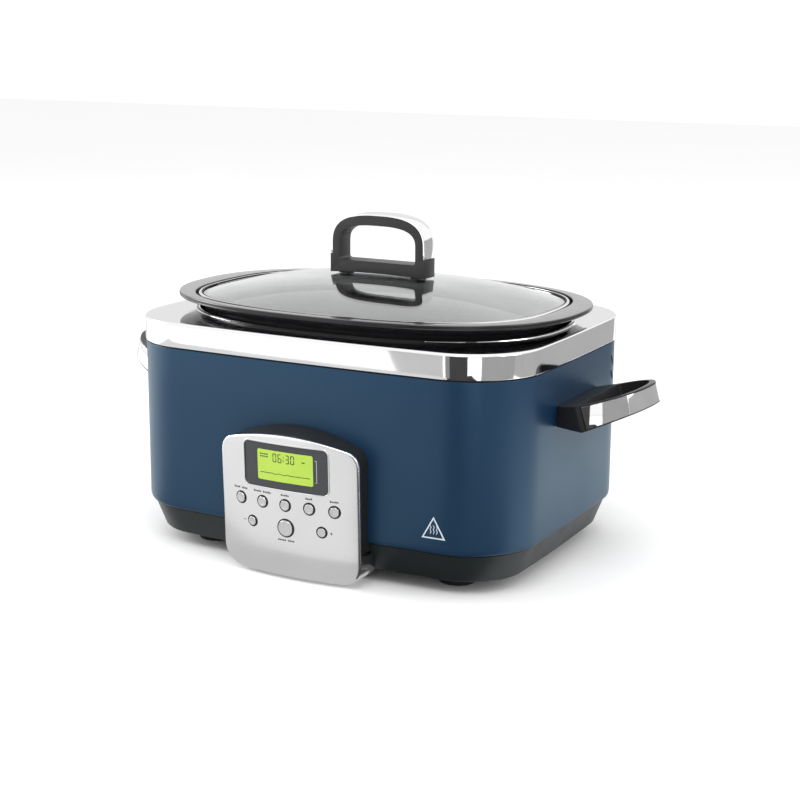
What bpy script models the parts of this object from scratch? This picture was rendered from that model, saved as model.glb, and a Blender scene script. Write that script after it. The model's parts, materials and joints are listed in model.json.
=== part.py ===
"""Oval slow cooker with a lift-out pot, a glass lid and a front control panel.

Every sub-part is its own closed solid. Metres, +Z up, front at -Y, left handle at -X.
The body is drawn about X = Y = 0. main() then moves everything back a little, so that the
origin ends on the table, under the middle of the overall length and depth.
"""
import math

import bmesh
import bpy
from mathutils import Matrix, Vector

# ---------------------------------------------------------------- driving sizes
GAP = 0.0003                    # air between pieces that touch
MERGE = 0.00001                 # weld distance

BODY_LENGTH = 0.350             # X, without the bulge of the ends
BODY_DEPTH = 0.2541             # Y, without the bulge of the front and back
CORNER_RADIUS = 0.0555
FRONT_BULGE = 0.0049
END_BULGE = 0.0026

FOOT_HEIGHT = 0.0110
BASE_HEIGHT = 0.0236
SHELL_HEIGHT = 0.1367
BAND_HEIGHT = 0.0198

SHEET = 0.001                   # painted and plated steel sheet
PLASTIC = 0.0025                # moulded wall
BASE_TOP_INSET = 0.0036
BASE_FOOT_INSET = 0.0127
NECK_HEIGHT = 0.008             # shell neck hidden behind the bright band
SHADOW_LINE = 0.0012            # dark gap below the bright band
BAND_PROUD = 0.0008

OVAL_POWER = 2.42               # superellipse power of the pot
LID_POWER = 2.65                # and of the lid
FLANGE_END_OVERHANG = 0.0025    # pot flange past the body's end
FLANGE_FRONT_INSET = 0.00645    # pot flange short of the body's front
FLANGE_RISE = 0.0152            # flange top above the deck
FLANGE_EDGE = 0.0038
POT_LIP_END = 0.024             # flange edge to pot wall, at the ends
POT_LIP_FRONT = 0.0181          # and at the front
POT_WALL = 0.0028
POT_DRAFT = 0.006               # how much narrower the wall is at the floor
POT_FLOOR_RISE = 0.0348         # underside of the pot above the base housing
SEAT_DEPTH = 0.0056             # lid seat below the flange top
OPENING_END_GAP = 0.0073        # pot wall to deck opening
OPENING_FRONT_GAP = 0.0021
BEAD_WIDTH = 0.0042
BEAD_HEIGHT = 0.0021            # at the ends of the opening
BEAD_LOW_SHARE = 0.3            # its share at the front and back
SKIRT_DEPTH = 0.0075

WELL_SHEET = 0.0008
PLATE_THICK = 0.0072
ELEMENT_RADIUS = 0.0031
ELEMENT_GAP_TURN = 0.16         # half the angle between the element's two ends
INSULATION_THICK = 0.004

LID_END_INSET = 0.022           # flange edge to lid rim, at the ends
LID_FRONT_INSET = 0.0095
RIM_HEIGHT = 0.0053
RIM_WIDTH = 0.0023
GLASS_THICK = 0.0031
DOME_RISE = 0.0187

KNOB_HALF_WIDTH = 0.0440
KNOB_DEPTH = 0.018
KNOB_BAR_HEIGHT = 0.0142
KNOB_SHOULDER = 0.0303          # shoulder above the bar's underside
KNOB_HEIGHT = 0.049
KNOB_CAP = 0.0014
KNOB_OPENING_HALF = 0.0356
KNOB_OPENING_LOW = 0.0096
KNOB_OPENING_TOP = 0.0395
KNOB_BOSS_X = 0.034
KNOB_POWER = 2.9                # superellipse power of the arch

HANDLE_REACH = 0.0665
HANDLE_HALF_SPAN = 0.051
HANDLE_BAND = 0.0062
HANDLE_HEIGHT = 0.0204
HANDLE_TILT = math.radians(17)
HANDLE_LEVEL = 0.0919           # above the base housing's top edge
HANDLE_POWER = 2.3
HANDLE_BAR = 0.0210             # solid root along the body
HANDLE_BEND = 0.0220            # level as far as this, tilted beyond it
HANDLE_TAPER = 0.45             # share that the lower half loses towards the tip
ROOT_NARROWING = 0.20           # share of width that the root loses at the body
ROOT_SINK = 0.35                # share of its upper half that the root loses there
TRIM_HEIGHT = 0.0176
TRIM_THICK = 0.0016
TRIM_START = 0.0235             # bright trim begins this far out
HANDLE_SCREW_Y = 0.030

PANEL_HALF_WIDTH = 0.0623
PANEL_RADIUS = 0.290
PANEL_REACH = 0.02145           # fascia in front of the body
PANEL_TOP = 0.1182
PANEL_SIDE_DROP = 0.0065        # arch of the fascia's top edge
PANEL_LEAN = math.radians(2)
PANEL_CORNER = 0.013
PANEL_FOOT_CORNER = 0.020
CREASE = 0.0277
TOE_BOTTOM = 0.0015
TOE_REACH = 0.040
TOE_CURL = 0.008
FASCIA_THICK = 0.0022
HOUSING_RISE = 0.005            # housing arch above the fascia's top
WINDOW_HALF_WIDTH = 0.0383
WINDOW_LOW = 0.0745
WINDOW_HIGH = 0.1112
WINDOW_CORNER = 0.005
WINDOW_RECESS = 0.0006
WINDOW_THICK = 0.0014
LCD_HALF_WIDTH = 0.0265
LCD_LOW = 0.0794
LCD_HIGH = 0.1068
SMALL_CAP = 0.0040
SIDE_CAP = 0.0035
START_CAP = 0.0064
CAP_GAP = 0.0010
BUTTON_PROUD = 0.0011
BUTTONS = (                     # name, x, z, cap radius
    ("preset_button_1", -0.0425, 0.0627, SMALL_CAP),
    ("preset_button_2", -0.02125, 0.0627, SMALL_CAP),
    ("preset_button_3", 0.0, 0.0627, SMALL_CAP),
    ("preset_button_4", 0.02125, 0.0627, SMALL_CAP),
    ("preset_button_5", 0.0425, 0.0627, SMALL_CAP),
    ("minus_button", -0.0316, 0.0451, SIDE_CAP),
    ("plus_button", 0.0316, 0.0451, SIDE_CAP),
    ("start_stop_button", 0.0, 0.0442, START_CAP),
)

FOOT_X = 0.114
FOOT_Y = 0.081
FOOT_RADIUS = 0.016
BOSS_RADIUS = 0.006
POST_RADIUS = 0.003
SCREW_RADIUS = 0.0018
HARNESS_Z = 0.0627

CORNER_STEPS = 6                # facets of each body corner
FRONT_STEPS = round((BODY_LENGTH - 2 * CORNER_RADIUS) / 0.055)
END_STEPS = round((BODY_DEPTH - 2 * CORNER_RADIUS) / 0.045)
HANDLE_STEPS = 28
ARCH_STEPS = 16
OVAL_STEPS = 44                 # facets of the pot and the lid

CUTOUT_X = 0.048
GLAND_X = 0.060
GLAND_BORE = 0.0036
GLAND_NECK = 0.0060
BOARD_LOW = (-0.075, 0.022)     # corners of the power board in plan
BOARD_HIGH = (0.020, 0.088)

# ---------------------------------------------------------------- derived places
HALF_LENGTH = BODY_LENGTH / 2
HALF_DEPTH = BODY_DEPTH / 2
BODY_FRONT = HALF_DEPTH + FRONT_BULGE
BODY_END = HALF_LENGTH + END_BULGE
Z_BASE = FOOT_HEIGHT
Z_SHELL = Z_BASE + BASE_HEIGHT
Z_BAND = Z_SHELL + SHELL_HEIGHT
Z_DECK = Z_BAND + BAND_HEIGHT
Z_FLANGE = Z_DECK + FLANGE_RISE
Z_SEAT = Z_FLANGE - SEAT_DEPTH
Z_POT = Z_SHELL + POT_FLOOR_RISE
Z_PLATE = Z_POT - GAP
Z_WELL = Z_PLATE - PLATE_THICK - GAP            # top of the well's floor
Z_UNDER_WELL = Z_WELL - WELL_SHEET
Z_FLOOR = Z_BASE + PLASTIC                      # inside floor of the base
BOSS_TOP = Z_FLOOR + 0.010
POST_TOP = Z_FLOOR + 0.0045
FLANGE = (HALF_LENGTH + FLANGE_END_OVERHANG, HALF_DEPTH - FLANGE_FRONT_INSET)
POT = (FLANGE[0] - POT_LIP_END, FLANGE[1] - POT_LIP_FRONT)
ELEMENT = (POT[0] - 0.058, POT[1] - 0.050)      # half axes of the heating element's loop
LEAD_X = ELEMENT[0] * math.sin(ELEMENT_GAP_TURN)
HARNESS_X = -LEAD_X - 0.0048                    # clear of the element's left lead
OPENING = (POT[0] + OPENING_END_GAP, POT[1] + OPENING_FRONT_GAP)
WELL = (OPENING[0] + SHEET + 2 * GAP + WELL_SHEET, OPENING[1] + SHEET + 2 * GAP + WELL_SHEET)
LID = (FLANGE[0] - LID_END_INSET, FLANGE[1] - LID_FRONT_INSET)
Z_RIM = Z_SEAT + GAP
Z_GLASS_EDGE = Z_RIM + 0.0011
Z_APEX = Z_GLASS_EDGE + GLASS_THICK + DOME_RISE
Z_KNOB = Z_APEX + 0.0006
FRONT_VIEW = Matrix.Rotation(math.radians(90), 4, "X")      # lays a flat piece's Y along world Z
PANEL_FRAME = Matrix.Translation((0, -BODY_FRONT - PANEL_REACH, 0)) @ FRONT_VIEW


# ---------------------------------------------------------------- scene and materials
def clear_scene():
    for obj in list(bpy.data.objects):
        bpy.data.objects.remove(obj, do_unlink=True)


def new_collection(name):
    collection = bpy.data.collections.new(name)
    bpy.context.scene.collection.children.link(collection)
    return collection


def paint(name, colour, roughness, metallic=0.0, alpha=1.0):
    material = bpy.data.materials.new(name)
    material.use_nodes = True
    shader = material.node_tree.nodes["Principled BSDF"]
    shader.inputs["Base Color"].default_value = (*colour, 1.0)
    shader.inputs["Roughness"].default_value = roughness
    shader.inputs["Metallic"].default_value = metallic
    shader.inputs["Alpha"].default_value = alpha
    material.diffuse_color = (*colour, alpha)
    return material


clear_scene()
PARTS = new_collection("slow_cooker")
CUTTERS = new_collection("cutters")

BLUE = paint("blue_paint", (0.045, 0.092, 0.150), 0.38, 0.2)
CHROME = paint("chrome", (0.86, 0.86, 0.87), 0.06, 1.0)
STEEL = paint("steel", (0.62, 0.62, 0.64), 0.30, 1.0)
ALUMINIUM = paint("aluminium", (0.72, 0.73, 0.74), 0.35, 1.0)
GREY_PLASTIC = paint("grey_plastic", (0.038, 0.045, 0.048), 0.45)
BLACK_PLASTIC = paint("black_plastic", (0.012, 0.012, 0.013), 0.40)
COATING = paint("nonstick_coating", (0.018, 0.018, 0.020), 0.32)
RUBBER = paint("rubber", (0.010, 0.010, 0.010), 0.80)
GLASS = paint("glass", (0.80, 0.84, 0.86), 0.02, 0.0, 0.35)
DARK_WINDOW = paint("dark_window", (0.035, 0.035, 0.038), 0.08)
LCD_GREEN = paint("lcd", (0.48, 0.72, 0.10), 0.25)
BOARD_GREEN = paint("circuit_board", (0.02, 0.16, 0.07), 0.50)
WOOL = paint("insulation", (0.72, 0.70, 0.64), 0.95)


# ---------------------------------------------------------------- building tools
def add_object(name, mesh, colour):
    """Links a part, or a cutter when it has no colour."""
    obj = bpy.data.objects.new(name, mesh)
    if colour is None:
        CUTTERS.objects.link(obj)
        obj.hide_render = True
        obj.display_type = "WIRE"
    else:
        PARTS.objects.link(obj)
        mesh.materials.append(colour)
    return obj


def add_solid(name, bm, colour):
    bmesh.ops.recalc_face_normals(bm, faces=bm.faces)
    mesh = bpy.data.meshes.new(name)
    bm.to_mesh(mesh)
    bm.free()
    mesh.shade_smooth()
    mesh.set_sharp_from_angle(angle=math.radians(32))
    return add_object(name, mesh, colour)


def loft(name, sections, colour, ring=False):
    """Skins unlike sections in turn: closed onto the first, or capped at both ends."""
    bm = bmesh.new()
    rows = [[bm.verts.new(point) for point in section] for section in sections]
    pairs = list(zip(rows, rows[1:]))
    if ring:
        pairs.append((rows[-1], rows[0]))
    else:
        bm.faces.new(rows[0])
        bm.faces.new(rows[-1])
    for low, high in pairs:
        for i in range(len(low)):
            j = (i + 1) % len(low)
            bm.faces.new((low[i], low[j], high[j], high[i]))
    return add_solid(name, bm, colour)


def box(name, low, high, colour, bevel=0.0):
    bm = bmesh.new()
    bmesh.ops.create_cube(bm, size=1.0)
    size = Vector(high) - Vector(low)
    bmesh.ops.scale(bm, vec=size, verts=bm.verts)
    bmesh.ops.translate(bm, vec=(Vector(high) + Vector(low)) / 2, verts=bm.verts)
    obj = add_solid(name, bm, colour)
    if bevel:
        round_edges(obj, bevel)
    return obj


def round_edges(obj, width):
    bevel = obj.modifiers.new("rounded_edges", "BEVEL")
    bevel.width = width
    bevel.segments = 1
    bevel.limit_method = "ANGLE"
    bevel.angle_limit = math.radians(50)


def cylinder(name, radius, low, high, colour, steps=16):
    """A round bar between two points."""
    low, high = Vector(low), Vector(high)
    bm = bmesh.new()
    bmesh.ops.create_cone(bm, cap_ends=True, segments=steps, radius1=radius, radius2=radius,
                          depth=(high - low).length)
    turn = (high - low).to_track_quat("Z", "Y").to_matrix().to_4x4()
    bmesh.ops.transform(bm, matrix=Matrix.Translation((low + high) / 2) @ turn, verts=bm.verts)
    return add_solid(name, bm, colour)


def turned(name, profile, colour, steps=24, closed=False):
    """Turns (radius, height) points about Z. The points run down the outer side."""
    count = len(profile)
    edges = [(i, i + 1) for i in range(count - 1)]
    if closed:
        edges.append((count - 1, 0))
    mesh = bpy.data.meshes.new(name)
    mesh.from_pydata([(radius, 0.0, height) for radius, height in profile], edges, [])
    obj = add_object(name, mesh, colour)
    screw = obj.modifiers.new("turn", "SCREW")
    screw.steps = steps
    screw.render_steps = steps
    screw.use_merge_vertices = True
    screw.merge_threshold = MERGE
    screw.use_smooth_shade = False
    return obj


def place(obj, origin, direction):
    """Stands a turned piece at an origin, its own +Z along a direction."""
    turn = Vector(direction).to_track_quat("Z", "Y").to_matrix().to_4x4()
    obj.matrix_world = Matrix.Translation(origin) @ turn
    return obj


def curve_to_mesh(obj, colour, matrix):
    """Replaces a curve object with its welded mesh."""
    name = obj.name
    bpy.context.view_layer.update()
    graph = bpy.context.evaluated_depsgraph_get()
    mesh = bpy.data.meshes.new_from_object(obj.evaluated_get(graph))
    bpy.data.objects.remove(obj, do_unlink=True)
    bm = bmesh.new()
    bm.from_mesh(mesh)
    bmesh.ops.remove_doubles(bm, verts=bm.verts, dist=MERGE)
    bmesh.ops.transform(bm, matrix=matrix, verts=bm.verts)
    bpy.data.meshes.remove(mesh)
    return add_solid(name, bm, colour)


def flat_piece(name, outlines, thickness, colour, matrix):
    """A plate with flat faces, from its outline and the outlines of its holes."""
    curve = bpy.data.curves.new(name, "CURVE")
    curve.dimensions = "2D"
    curve.fill_mode = "BOTH"
    curve.extrude = thickness / 2
    for outline in outlines:
        spline = curve.splines.new("POLY")
        spline.points.add(len(outline) - 1)
        for point, (across, along) in zip(spline.points, outline):
            point.co = (across, along, 0.0, 1.0)
        spline.use_cyclic_u = True
    obj = bpy.data.objects.new(name, curve)
    CUTTERS.objects.link(obj)
    return curve_to_mesh(obj, colour, matrix)


def tube(name, points, radius, colour, resolution=2):
    curve = bpy.data.curves.new(name, "CURVE")
    curve.dimensions = "3D"
    curve.bevel_depth = radius
    curve.bevel_resolution = resolution
    curve.use_fill_caps = True
    spline = curve.splines.new("POLY")
    spline.points.add(len(points) - 1)
    for point, place_at in zip(spline.points, points):
        point.co = (*place_at, 1.0)
    obj = bpy.data.objects.new(name, curve)
    CUTTERS.objects.link(obj)
    return curve_to_mesh(obj, colour, Matrix.Identity(4))


def cut(part, *tools, operation="DIFFERENCE"):
    for tool in tools:
        step = part.modifiers.new(tool.name, "BOOLEAN")
        step.operation = operation
        step.solver = "EXACT"
        step.object = tool
    return part


def join(part, *tools):
    return cut(part, *tools, operation="UNION")


def joint_empty(name, origin, parts):
    """An empty on a joint's axis that carries the pieces of one body."""
    empty = bpy.data.objects.new(name, None)
    PARTS.objects.link(empty)
    empty.location = origin
    bpy.context.view_layer.update()
    for part in parts:
        part.parent = empty
        part.matrix_parent_inverse = empty.matrix_world.inverted()
    return empty


# ---------------------------------------------------------------- outlines
def arc(centre, radius, start, stop, steps):
    """Points on an arc, both ends included, angles in degrees."""
    points = []
    for i in range(steps + 1):
        angle = math.radians(start + (stop - start) * i / steps)
        points.append((centre[0] + radius * math.cos(angle), centre[1] + radius * math.sin(angle)))
    return points


def between(start, stop, steps):
    """Points strictly between two points."""
    return [(start[0] + (stop[0] - start[0]) * i / steps, start[1] + (stop[1] - start[1]) * i / steps)
            for i in range(1, steps)]


def body_plan(inset, z):
    """The body's outline at a height: a rounded rectangle whose sides bulge a little."""
    half_x, half_y = HALF_LENGTH - inset, HALF_DEPTH - inset
    radius = CORNER_RADIUS - inset
    corners = ((1, 1, 0), (-1, 1, 90), (-1, -1, 180), (1, -1, 270))
    arcs = [arc((sx * (half_x - radius), sy * (half_y - radius)), radius, turn, turn + 90, CORNER_STEPS)
            for sx, sy, turn in corners]
    flat = []
    for i, points in enumerate(arcs):
        steps = FRONT_STEPS if i % 2 == 0 else END_STEPS
        flat += points + between(points[-1], arcs[(i + 1) % 4][0], steps)
    loop = []
    for x, y in flat:
        bulge_x = END_BULGE * (1 - (y / half_y) ** 2) * x / half_x
        bulge_y = FRONT_BULGE * (1 - (x / half_x) ** 2) * y / half_y
        loop.append(Vector((x + bulge_x, y + bulge_y, z)))
    return loop


def oval(half, offset, z, power=OVAL_POWER, steps=OVAL_STEPS, like=None):
    """A level superellipse, set out from its half axes; like gives another loop's directions."""
    half_x, half_y = half[0] + offset, half[1] + offset
    if like:
        angles = [math.atan2(point.y, point.x) for point in like]
    else:
        turns = [2 * math.pi * i / steps for i in range(steps)]
        angles = [math.atan2(half_y * math.sin(turn), half_x * math.cos(turn)) for turn in turns]
    loop = []
    for angle in angles:
        reach = abs(math.cos(angle) / half_x) ** power + abs(math.sin(angle) / half_y) ** power
        radius = reach ** (-1 / power)
        loop.append(Vector((radius * math.cos(angle), radius * math.sin(angle), z)))
    return loop


def inner_oval(half, offset, z, power=OVAL_POWER):
    """An oval whose facets line up with those of the body and the deck."""
    return oval(half, offset, z, power, like=body_plan(0.0, 0.0))


def round_loop(radius, z):
    return inner_oval((radius, radius), 0.0, z, 2.0)


def half_oval(reach, half_span, steps):
    """The outer side of a handle, from -Y round to +Y."""
    points = []
    for i in range(steps + 1):
        turn = math.pi * (i / steps - 0.5)
        across = reach * abs(math.cos(turn)) ** (2 / HANDLE_POWER)
        along = half_span * math.copysign(abs(math.sin(turn)) ** (2 / HANDLE_POWER), turn)
        points.append((across, along))
    return points


def arch(half_width, low, shoulder, top, steps):
    """An arch from its right foot over the top to its left foot."""
    points = [(half_width, low)]
    for i in range(steps + 1):
        turn = math.pi * i / steps
        across = half_width * math.copysign(abs(math.cos(turn)) ** (2 / KNOB_POWER), math.cos(turn))
        points.append((across, shoulder + (top - shoulder) * abs(math.sin(turn)) ** (2 / KNOB_POWER)))
    points.append((-half_width, low))
    return points


def panel_outline(half_width, low, high, drop, top_corner, foot_corner, steps=5):
    """The panel seen from the front: an arched top edge and round corners."""
    side_top = high - drop - top_corner
    right = arc((half_width - foot_corner, low + foot_corner), foot_corner, 270, 360, steps)
    right += arc((half_width - top_corner, side_top), top_corner, 0, 80, steps)
    inner = right[-1][0]
    edge = right[-1][1]
    crown = []
    for i in range(1, 8):
        share = 1 - i / 4
        crown.append((inner * share, edge + (high - edge) * (1 - share ** 2)))
    left = [(-x, z) for x, z in reversed(right)]
    return right + crown + left


def face_y(x, z, depth=0.0):
    """Y of the fascia's front, or of a surface a given depth behind it."""
    centre = -BODY_FRONT - PANEL_REACH + PANEL_RADIUS
    lean = (PANEL_TOP + CREASE) / 2 - z
    return centre - math.sqrt((PANEL_RADIUS - depth) ** 2 - x * x) + lean * math.tan(PANEL_LEAN)


def face_normal(x):
    turn = math.asin(x / PANEL_RADIUS)
    return Vector((math.sin(turn), -math.cos(turn), -math.sin(PANEL_LEAN))).normalized()


# ---------------------------------------------------------------- body
def body_envelope():
    """The outside of the body with a small clearance: trims what is mounted on it."""
    return loft("body_envelope", [
        body_plan(BASE_FOOT_INSET + 0.0008 - GAP, Z_BASE - GAP),
        body_plan(BASE_FOOT_INSET - GAP, Z_BASE + 0.0008),
        body_plan(BASE_TOP_INSET - 2 * GAP, Z_SHELL - 0.0005),
        body_plan(0.0026, Z_SHELL - GAP),
        body_plan(0.0005, Z_SHELL + 0.0010),
        body_plan(-GAP, Z_SHELL + 0.0040),
        body_plan(-GAP, Z_DECK),
    ], None)


def make_shell():
    shell = loft("outer_shell", [
        body_plan(0.0034, Z_SHELL),
        body_plan(0.0010, Z_SHELL + 0.0014),
        body_plan(0.0, Z_SHELL + 0.0048),
        body_plan(0.0, Z_BAND - SHADOW_LINE - 0.0006),
        body_plan(0.0005, Z_BAND - SHADOW_LINE),
        body_plan(0.0018, Z_BAND - SHADOW_LINE),
        body_plan(0.0018, Z_BAND + NECK_HEIGHT),
        body_plan(0.0018 + SHEET, Z_BAND + NECK_HEIGHT),
        body_plan(0.0018 + SHEET, Z_BAND - SHADOW_LINE - SHEET),
        body_plan(SHEET, Z_BAND - SHADOW_LINE - 2 * SHEET),
        body_plan(SHEET, Z_SHELL + 0.0050),
        body_plan(0.0010 + SHEET, Z_SHELL + 0.0022),
        body_plan(0.0038, Z_SHELL + 0.0010),
    ], BLUE, ring=True)
    shell_holes = [cylinder("harness_hole", 0.006, (HARNESS_X, -BODY_FRONT - 0.01, HARNESS_Z),
                            (HARNESS_X, -BODY_FRONT + 0.02, HARNESS_Z), None)]
    shell_holes += handle_screw_holes("shell_screw_hole")
    cut(shell, *shell_holes, *vent_slots())
    return shell


def vent_slots():
    """Slanted cooling slots round both rear corners."""
    slots = []
    slot = Vector((0.0032, 0.012, 0.010))
    radius = CORNER_RADIUS - SHEET / 2
    for side in (1, -1):
        for column in range(4):
            turn = math.radians(6 + 21 * column)
            centre = Vector((side * (HALF_LENGTH - CORNER_RADIUS + radius * math.cos(turn)),
                             HALF_DEPTH - CORNER_RADIUS + radius * math.sin(turn), 0))
            outward = turn if side > 0 else math.pi - turn
            for row in range(2):
                centre.z = Z_BAND - 0.0165 - 0.0125 * row
                frame = Matrix.Translation(centre) @ Matrix.Rotation(outward - math.pi / 2, 4, "Z")
                frame = frame @ Matrix.Rotation(math.radians(35) * side, 4, "Y")
                bm = bmesh.new()
                bmesh.ops.create_cube(bm, size=1.0)
                bmesh.ops.scale(bm, vec=slot, verts=bm.verts)
                bmesh.ops.transform(bm, matrix=frame, verts=bm.verts)
                slots.append(add_solid(f"vent_{side}_{column}_{row}", bm, None))
    return slots


def make_deck():
    """Bright top: side band, flat deck, raised bead and the skirt into the well."""
    outer = [body_plan(-BAND_PROUD, Z_BAND), body_plan(-BAND_PROUD, Z_DECK - 0.0024),
             body_plan(-0.0003, Z_DECK - 0.0008), body_plan(0.0010, Z_DECK)]

    def ring(offset, z, lift=0.0):
        """A loop round the opening, raised most at its two ends."""
        loop = inner_oval(OPENING, offset, z)
        for point in loop:
            share = min(1.0, abs(point.x) / OPENING[0])
            point.z += lift * (BEAD_LOW_SHARE + (1 - BEAD_LOW_SHARE) * share ** 3)
        return loop
    bead = [ring(BEAD_WIDTH, Z_DECK), ring(BEAD_WIDTH * 0.86, Z_DECK, BEAD_HEIGHT * 0.65),
            ring(BEAD_WIDTH * 0.5, Z_DECK, BEAD_HEIGHT), ring(BEAD_WIDTH * 0.14, Z_DECK, BEAD_HEIGHT * 0.65),
            ring(0.0, Z_DECK)]
    skirt = [ring(0.0, Z_DECK - SKIRT_DEPTH), ring(SHEET, Z_DECK - SKIRT_DEPTH), ring(SHEET, Z_DECK - SHEET)]
    inner = [body_plan(0.0010, Z_DECK - SHEET), body_plan(SHEET - BAND_PROUD, Z_DECK - 0.0026),
             body_plan(SHEET - BAND_PROUD, Z_BAND)]
    return loft("top_deck", outer + bead + skirt + inner, CHROME, ring=True)


def foot_places():
    return [(name, sx * FOOT_X, sy * FOOT_Y) for name, sx, sy in (
        ("front_left", -1, -1), ("front_right", 1, -1), ("rear_left", -1, 1), ("rear_right", 1, 1))]


def base_wall_normal():
    """Outward direction of the base's sloping rear wall."""
    rise = BASE_HEIGHT - 0.0013
    run = BASE_FOOT_INSET - BASE_TOP_INSET
    return Vector((0.0, rise, -run)).normalized()


def gland_origin():
    """Middle of the cord inlet on the rear wall's outer face."""
    along = 1 - (GLAND_X / (HALF_LENGTH - BASE_FOOT_INSET)) ** 2
    middle_inset = (BASE_TOP_INSET + BASE_FOOT_INSET) / 2
    y = HALF_DEPTH + FRONT_BULGE * along - middle_inset
    return Vector((GLAND_X, y, (Z_BASE + Z_SHELL) / 2 + 0.0005))


def make_base():
    """Tapered plastic tray with a spigot that centres the shell."""
    base = loft("base_housing", [
        body_plan(BASE_FOOT_INSET + PLASTIC, Z_FLOOR),
        body_plan(0.0075, Z_SHELL - 0.001),
        body_plan(0.0075, Z_SHELL + 0.0068),
        body_plan(0.0052, Z_SHELL + 0.0068),
        body_plan(0.0052, Z_SHELL - GAP),
        body_plan(BASE_TOP_INSET, Z_SHELL - GAP),
        body_plan(BASE_FOOT_INSET - 0.0006, Z_BASE + 0.0022),
        body_plan(BASE_FOOT_INSET + 0.0012, Z_BASE),
    ], GREY_PLASTIC)
    inside_floor = Z_BASE + 0.001
    for name, x, y in foot_places():
        join(base, cylinder(f"boss_{name}", BOSS_RADIUS, (x, y, inside_floor), (x, y, BOSS_TOP), None, 10))
    for x, y in board_posts():
        join(base, cylinder("board_post", POST_RADIUS, (x, y, inside_floor), (x, y, POST_TOP), None, 6))
    for name, x, y in foot_places():
        low, high = (x, y, Z_BASE - 0.001), (x, y, BOSS_TOP - 0.002)
        cut(base, cylinder(f"screw_way_{name}", SCREW_RADIUS + GAP, low, high, None, 8))
    origin, out = gland_origin(), base_wall_normal()
    cut(base, cylinder("gland_hole", GLAND_NECK + GAP, origin - out * 0.012, origin + out * 0.01, None, 20))


def make_gland():
    """Bush that lines the mains inlet in the rear wall."""
    outside = 0.0006                           # clear of the outer and inner faces of the wall
    inside = -0.0062
    end = inside - 0.0018
    gland = turned("cord_gland", [
        (GLAND_BORE, 0.0035), (0.0070, 0.0035), (0.0086, 0.0026), (0.0088, outside),
        (GLAND_NECK, outside), (GLAND_NECK, inside), (0.0078, inside), (0.0078, end), (GLAND_BORE, end),
    ], BLACK_PLASTIC, steps=16, closed=True)
    place(gland, gland_origin(), base_wall_normal())


def make_feet():
    for name, x, y in foot_places():
        foot = turned(f"foot_{name}", [
            (0.0026, FOOT_HEIGHT - GAP), (FOOT_RADIUS, FOOT_HEIGHT - GAP), (FOOT_RADIUS, 0.0018),
            (FOOT_RADIUS - 0.0012, 0.0), (0.0056, 0.0), (0.0056, 0.0052), (0.0026, 0.0052),
        ], RUBBER, steps=16, closed=True)
        foot.location = (x, y, 0.0)
        screw = turned(f"foot_screw_{name}", [
            (0.0, Z_FLOOR + 0.0055), (SCREW_RADIUS, Z_FLOOR + 0.0045), (SCREW_RADIUS, 0.0049),
            (0.0040, 0.0049), (0.0038, 0.0024), (0.0, 0.0022),
        ], STEEL, steps=10)
        screw.location = (x, y, 0.0)


# ---------------------------------------------------------------- heating
def make_well():
    """Pressed pan that hangs under the deck and carries the heating plate."""
    t = WELL_SHEET
    top = Z_DECK - SHEET - GAP
    low = 0.009                                # the wall draws in by this much at its foot
    loft("inner_well", [
        round_loop(0.012, Z_WELL - t), round_loop(0.012, Z_WELL),
        inner_oval(WELL, -t - 0.018, Z_WELL), inner_oval(WELL, -t - 0.0125, Z_WELL + 0.0018),
        inner_oval(WELL, -t - low, Z_WELL + 0.0085), inner_oval(WELL, -t, Z_DECK - 0.012),
        inner_oval(WELL, -t, top), inner_oval(WELL, 0.0042, top), inner_oval(WELL, 0.0042, top - t),
        inner_oval(WELL, 0.0, top - t), inner_oval(WELL, 0.0, Z_DECK - 0.012),
        inner_oval(WELL, -low, Z_WELL + 0.0080), inner_oval(WELL, -0.0125, Z_WELL + 0.0010),
        inner_oval(WELL, -0.018, Z_WELL - t),
    ], ALUMINIUM, ring=True)


def make_heater():
    plate_low = Z_PLATE - PLATE_THICK
    foot = (POT[0] - 0.0235, POT[1] - 0.0225)
    loft("heating_plate", [
        round_loop(0.011, plate_low), round_loop(0.011, Z_PLATE),
        inner_oval(foot, -0.0008, Z_PLATE), inner_oval(foot, 0.0, Z_PLATE - 0.0008),
        inner_oval(foot, 0.0, plate_low),
    ], ALUMINIUM, ring=True)
    element_z = Z_UNDER_WELL - GAP - ELEMENT_RADIUS
    half_x, half_y = ELEMENT
    loop = []
    for i in range(23):
        turn = -math.pi / 2 + ELEMENT_GAP_TURN + (2 * math.pi - 2 * ELEMENT_GAP_TURN) * i / 22
        loop.append((half_x * math.cos(turn), half_y * math.sin(turn), element_z))
    lead_x = loop[0][0]
    leg_y = -(WELL[1] - 0.012)
    right_leg = [(lead_x, leg_y, element_z - 0.0095), (lead_x, leg_y, element_z - 0.003),
                 (lead_x, leg_y + 0.003, element_z)]
    left_leg = [(-x, y, z) for x, y, z in reversed(right_leg)]
    tube("heating_element", right_leg + loop + left_leg, ELEMENT_RADIUS, STEEL)
    reflector_z = element_z - ELEMENT_RADIUS - 0.0022
    disc = (POT[0] - 0.034, POT[1] - 0.028)
    loft("heat_reflector", [
        round_loop(0.011, reflector_z - 0.0006), round_loop(0.011, reflector_z),
        inner_oval(disc, 0.0, reflector_z), inner_oval(disc, 0.0, reflector_z - 0.0006),
    ], ALUMINIUM, ring=True)
    wrap_low, wrap_high = Z_WELL + 0.002, Z_DECK - 0.012
    loft("insulation_wrap", [
        inner_oval(WELL, 0.0006, wrap_low), inner_oval(WELL, 0.0006 + INSULATION_THICK, wrap_low),
        inner_oval(WELL, 0.0006 + INSULATION_THICK, wrap_high), inner_oval(WELL, 0.0006, wrap_high),
    ], WOOL, ring=True)
    return lead_x, leg_y, element_z - 0.0095


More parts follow.
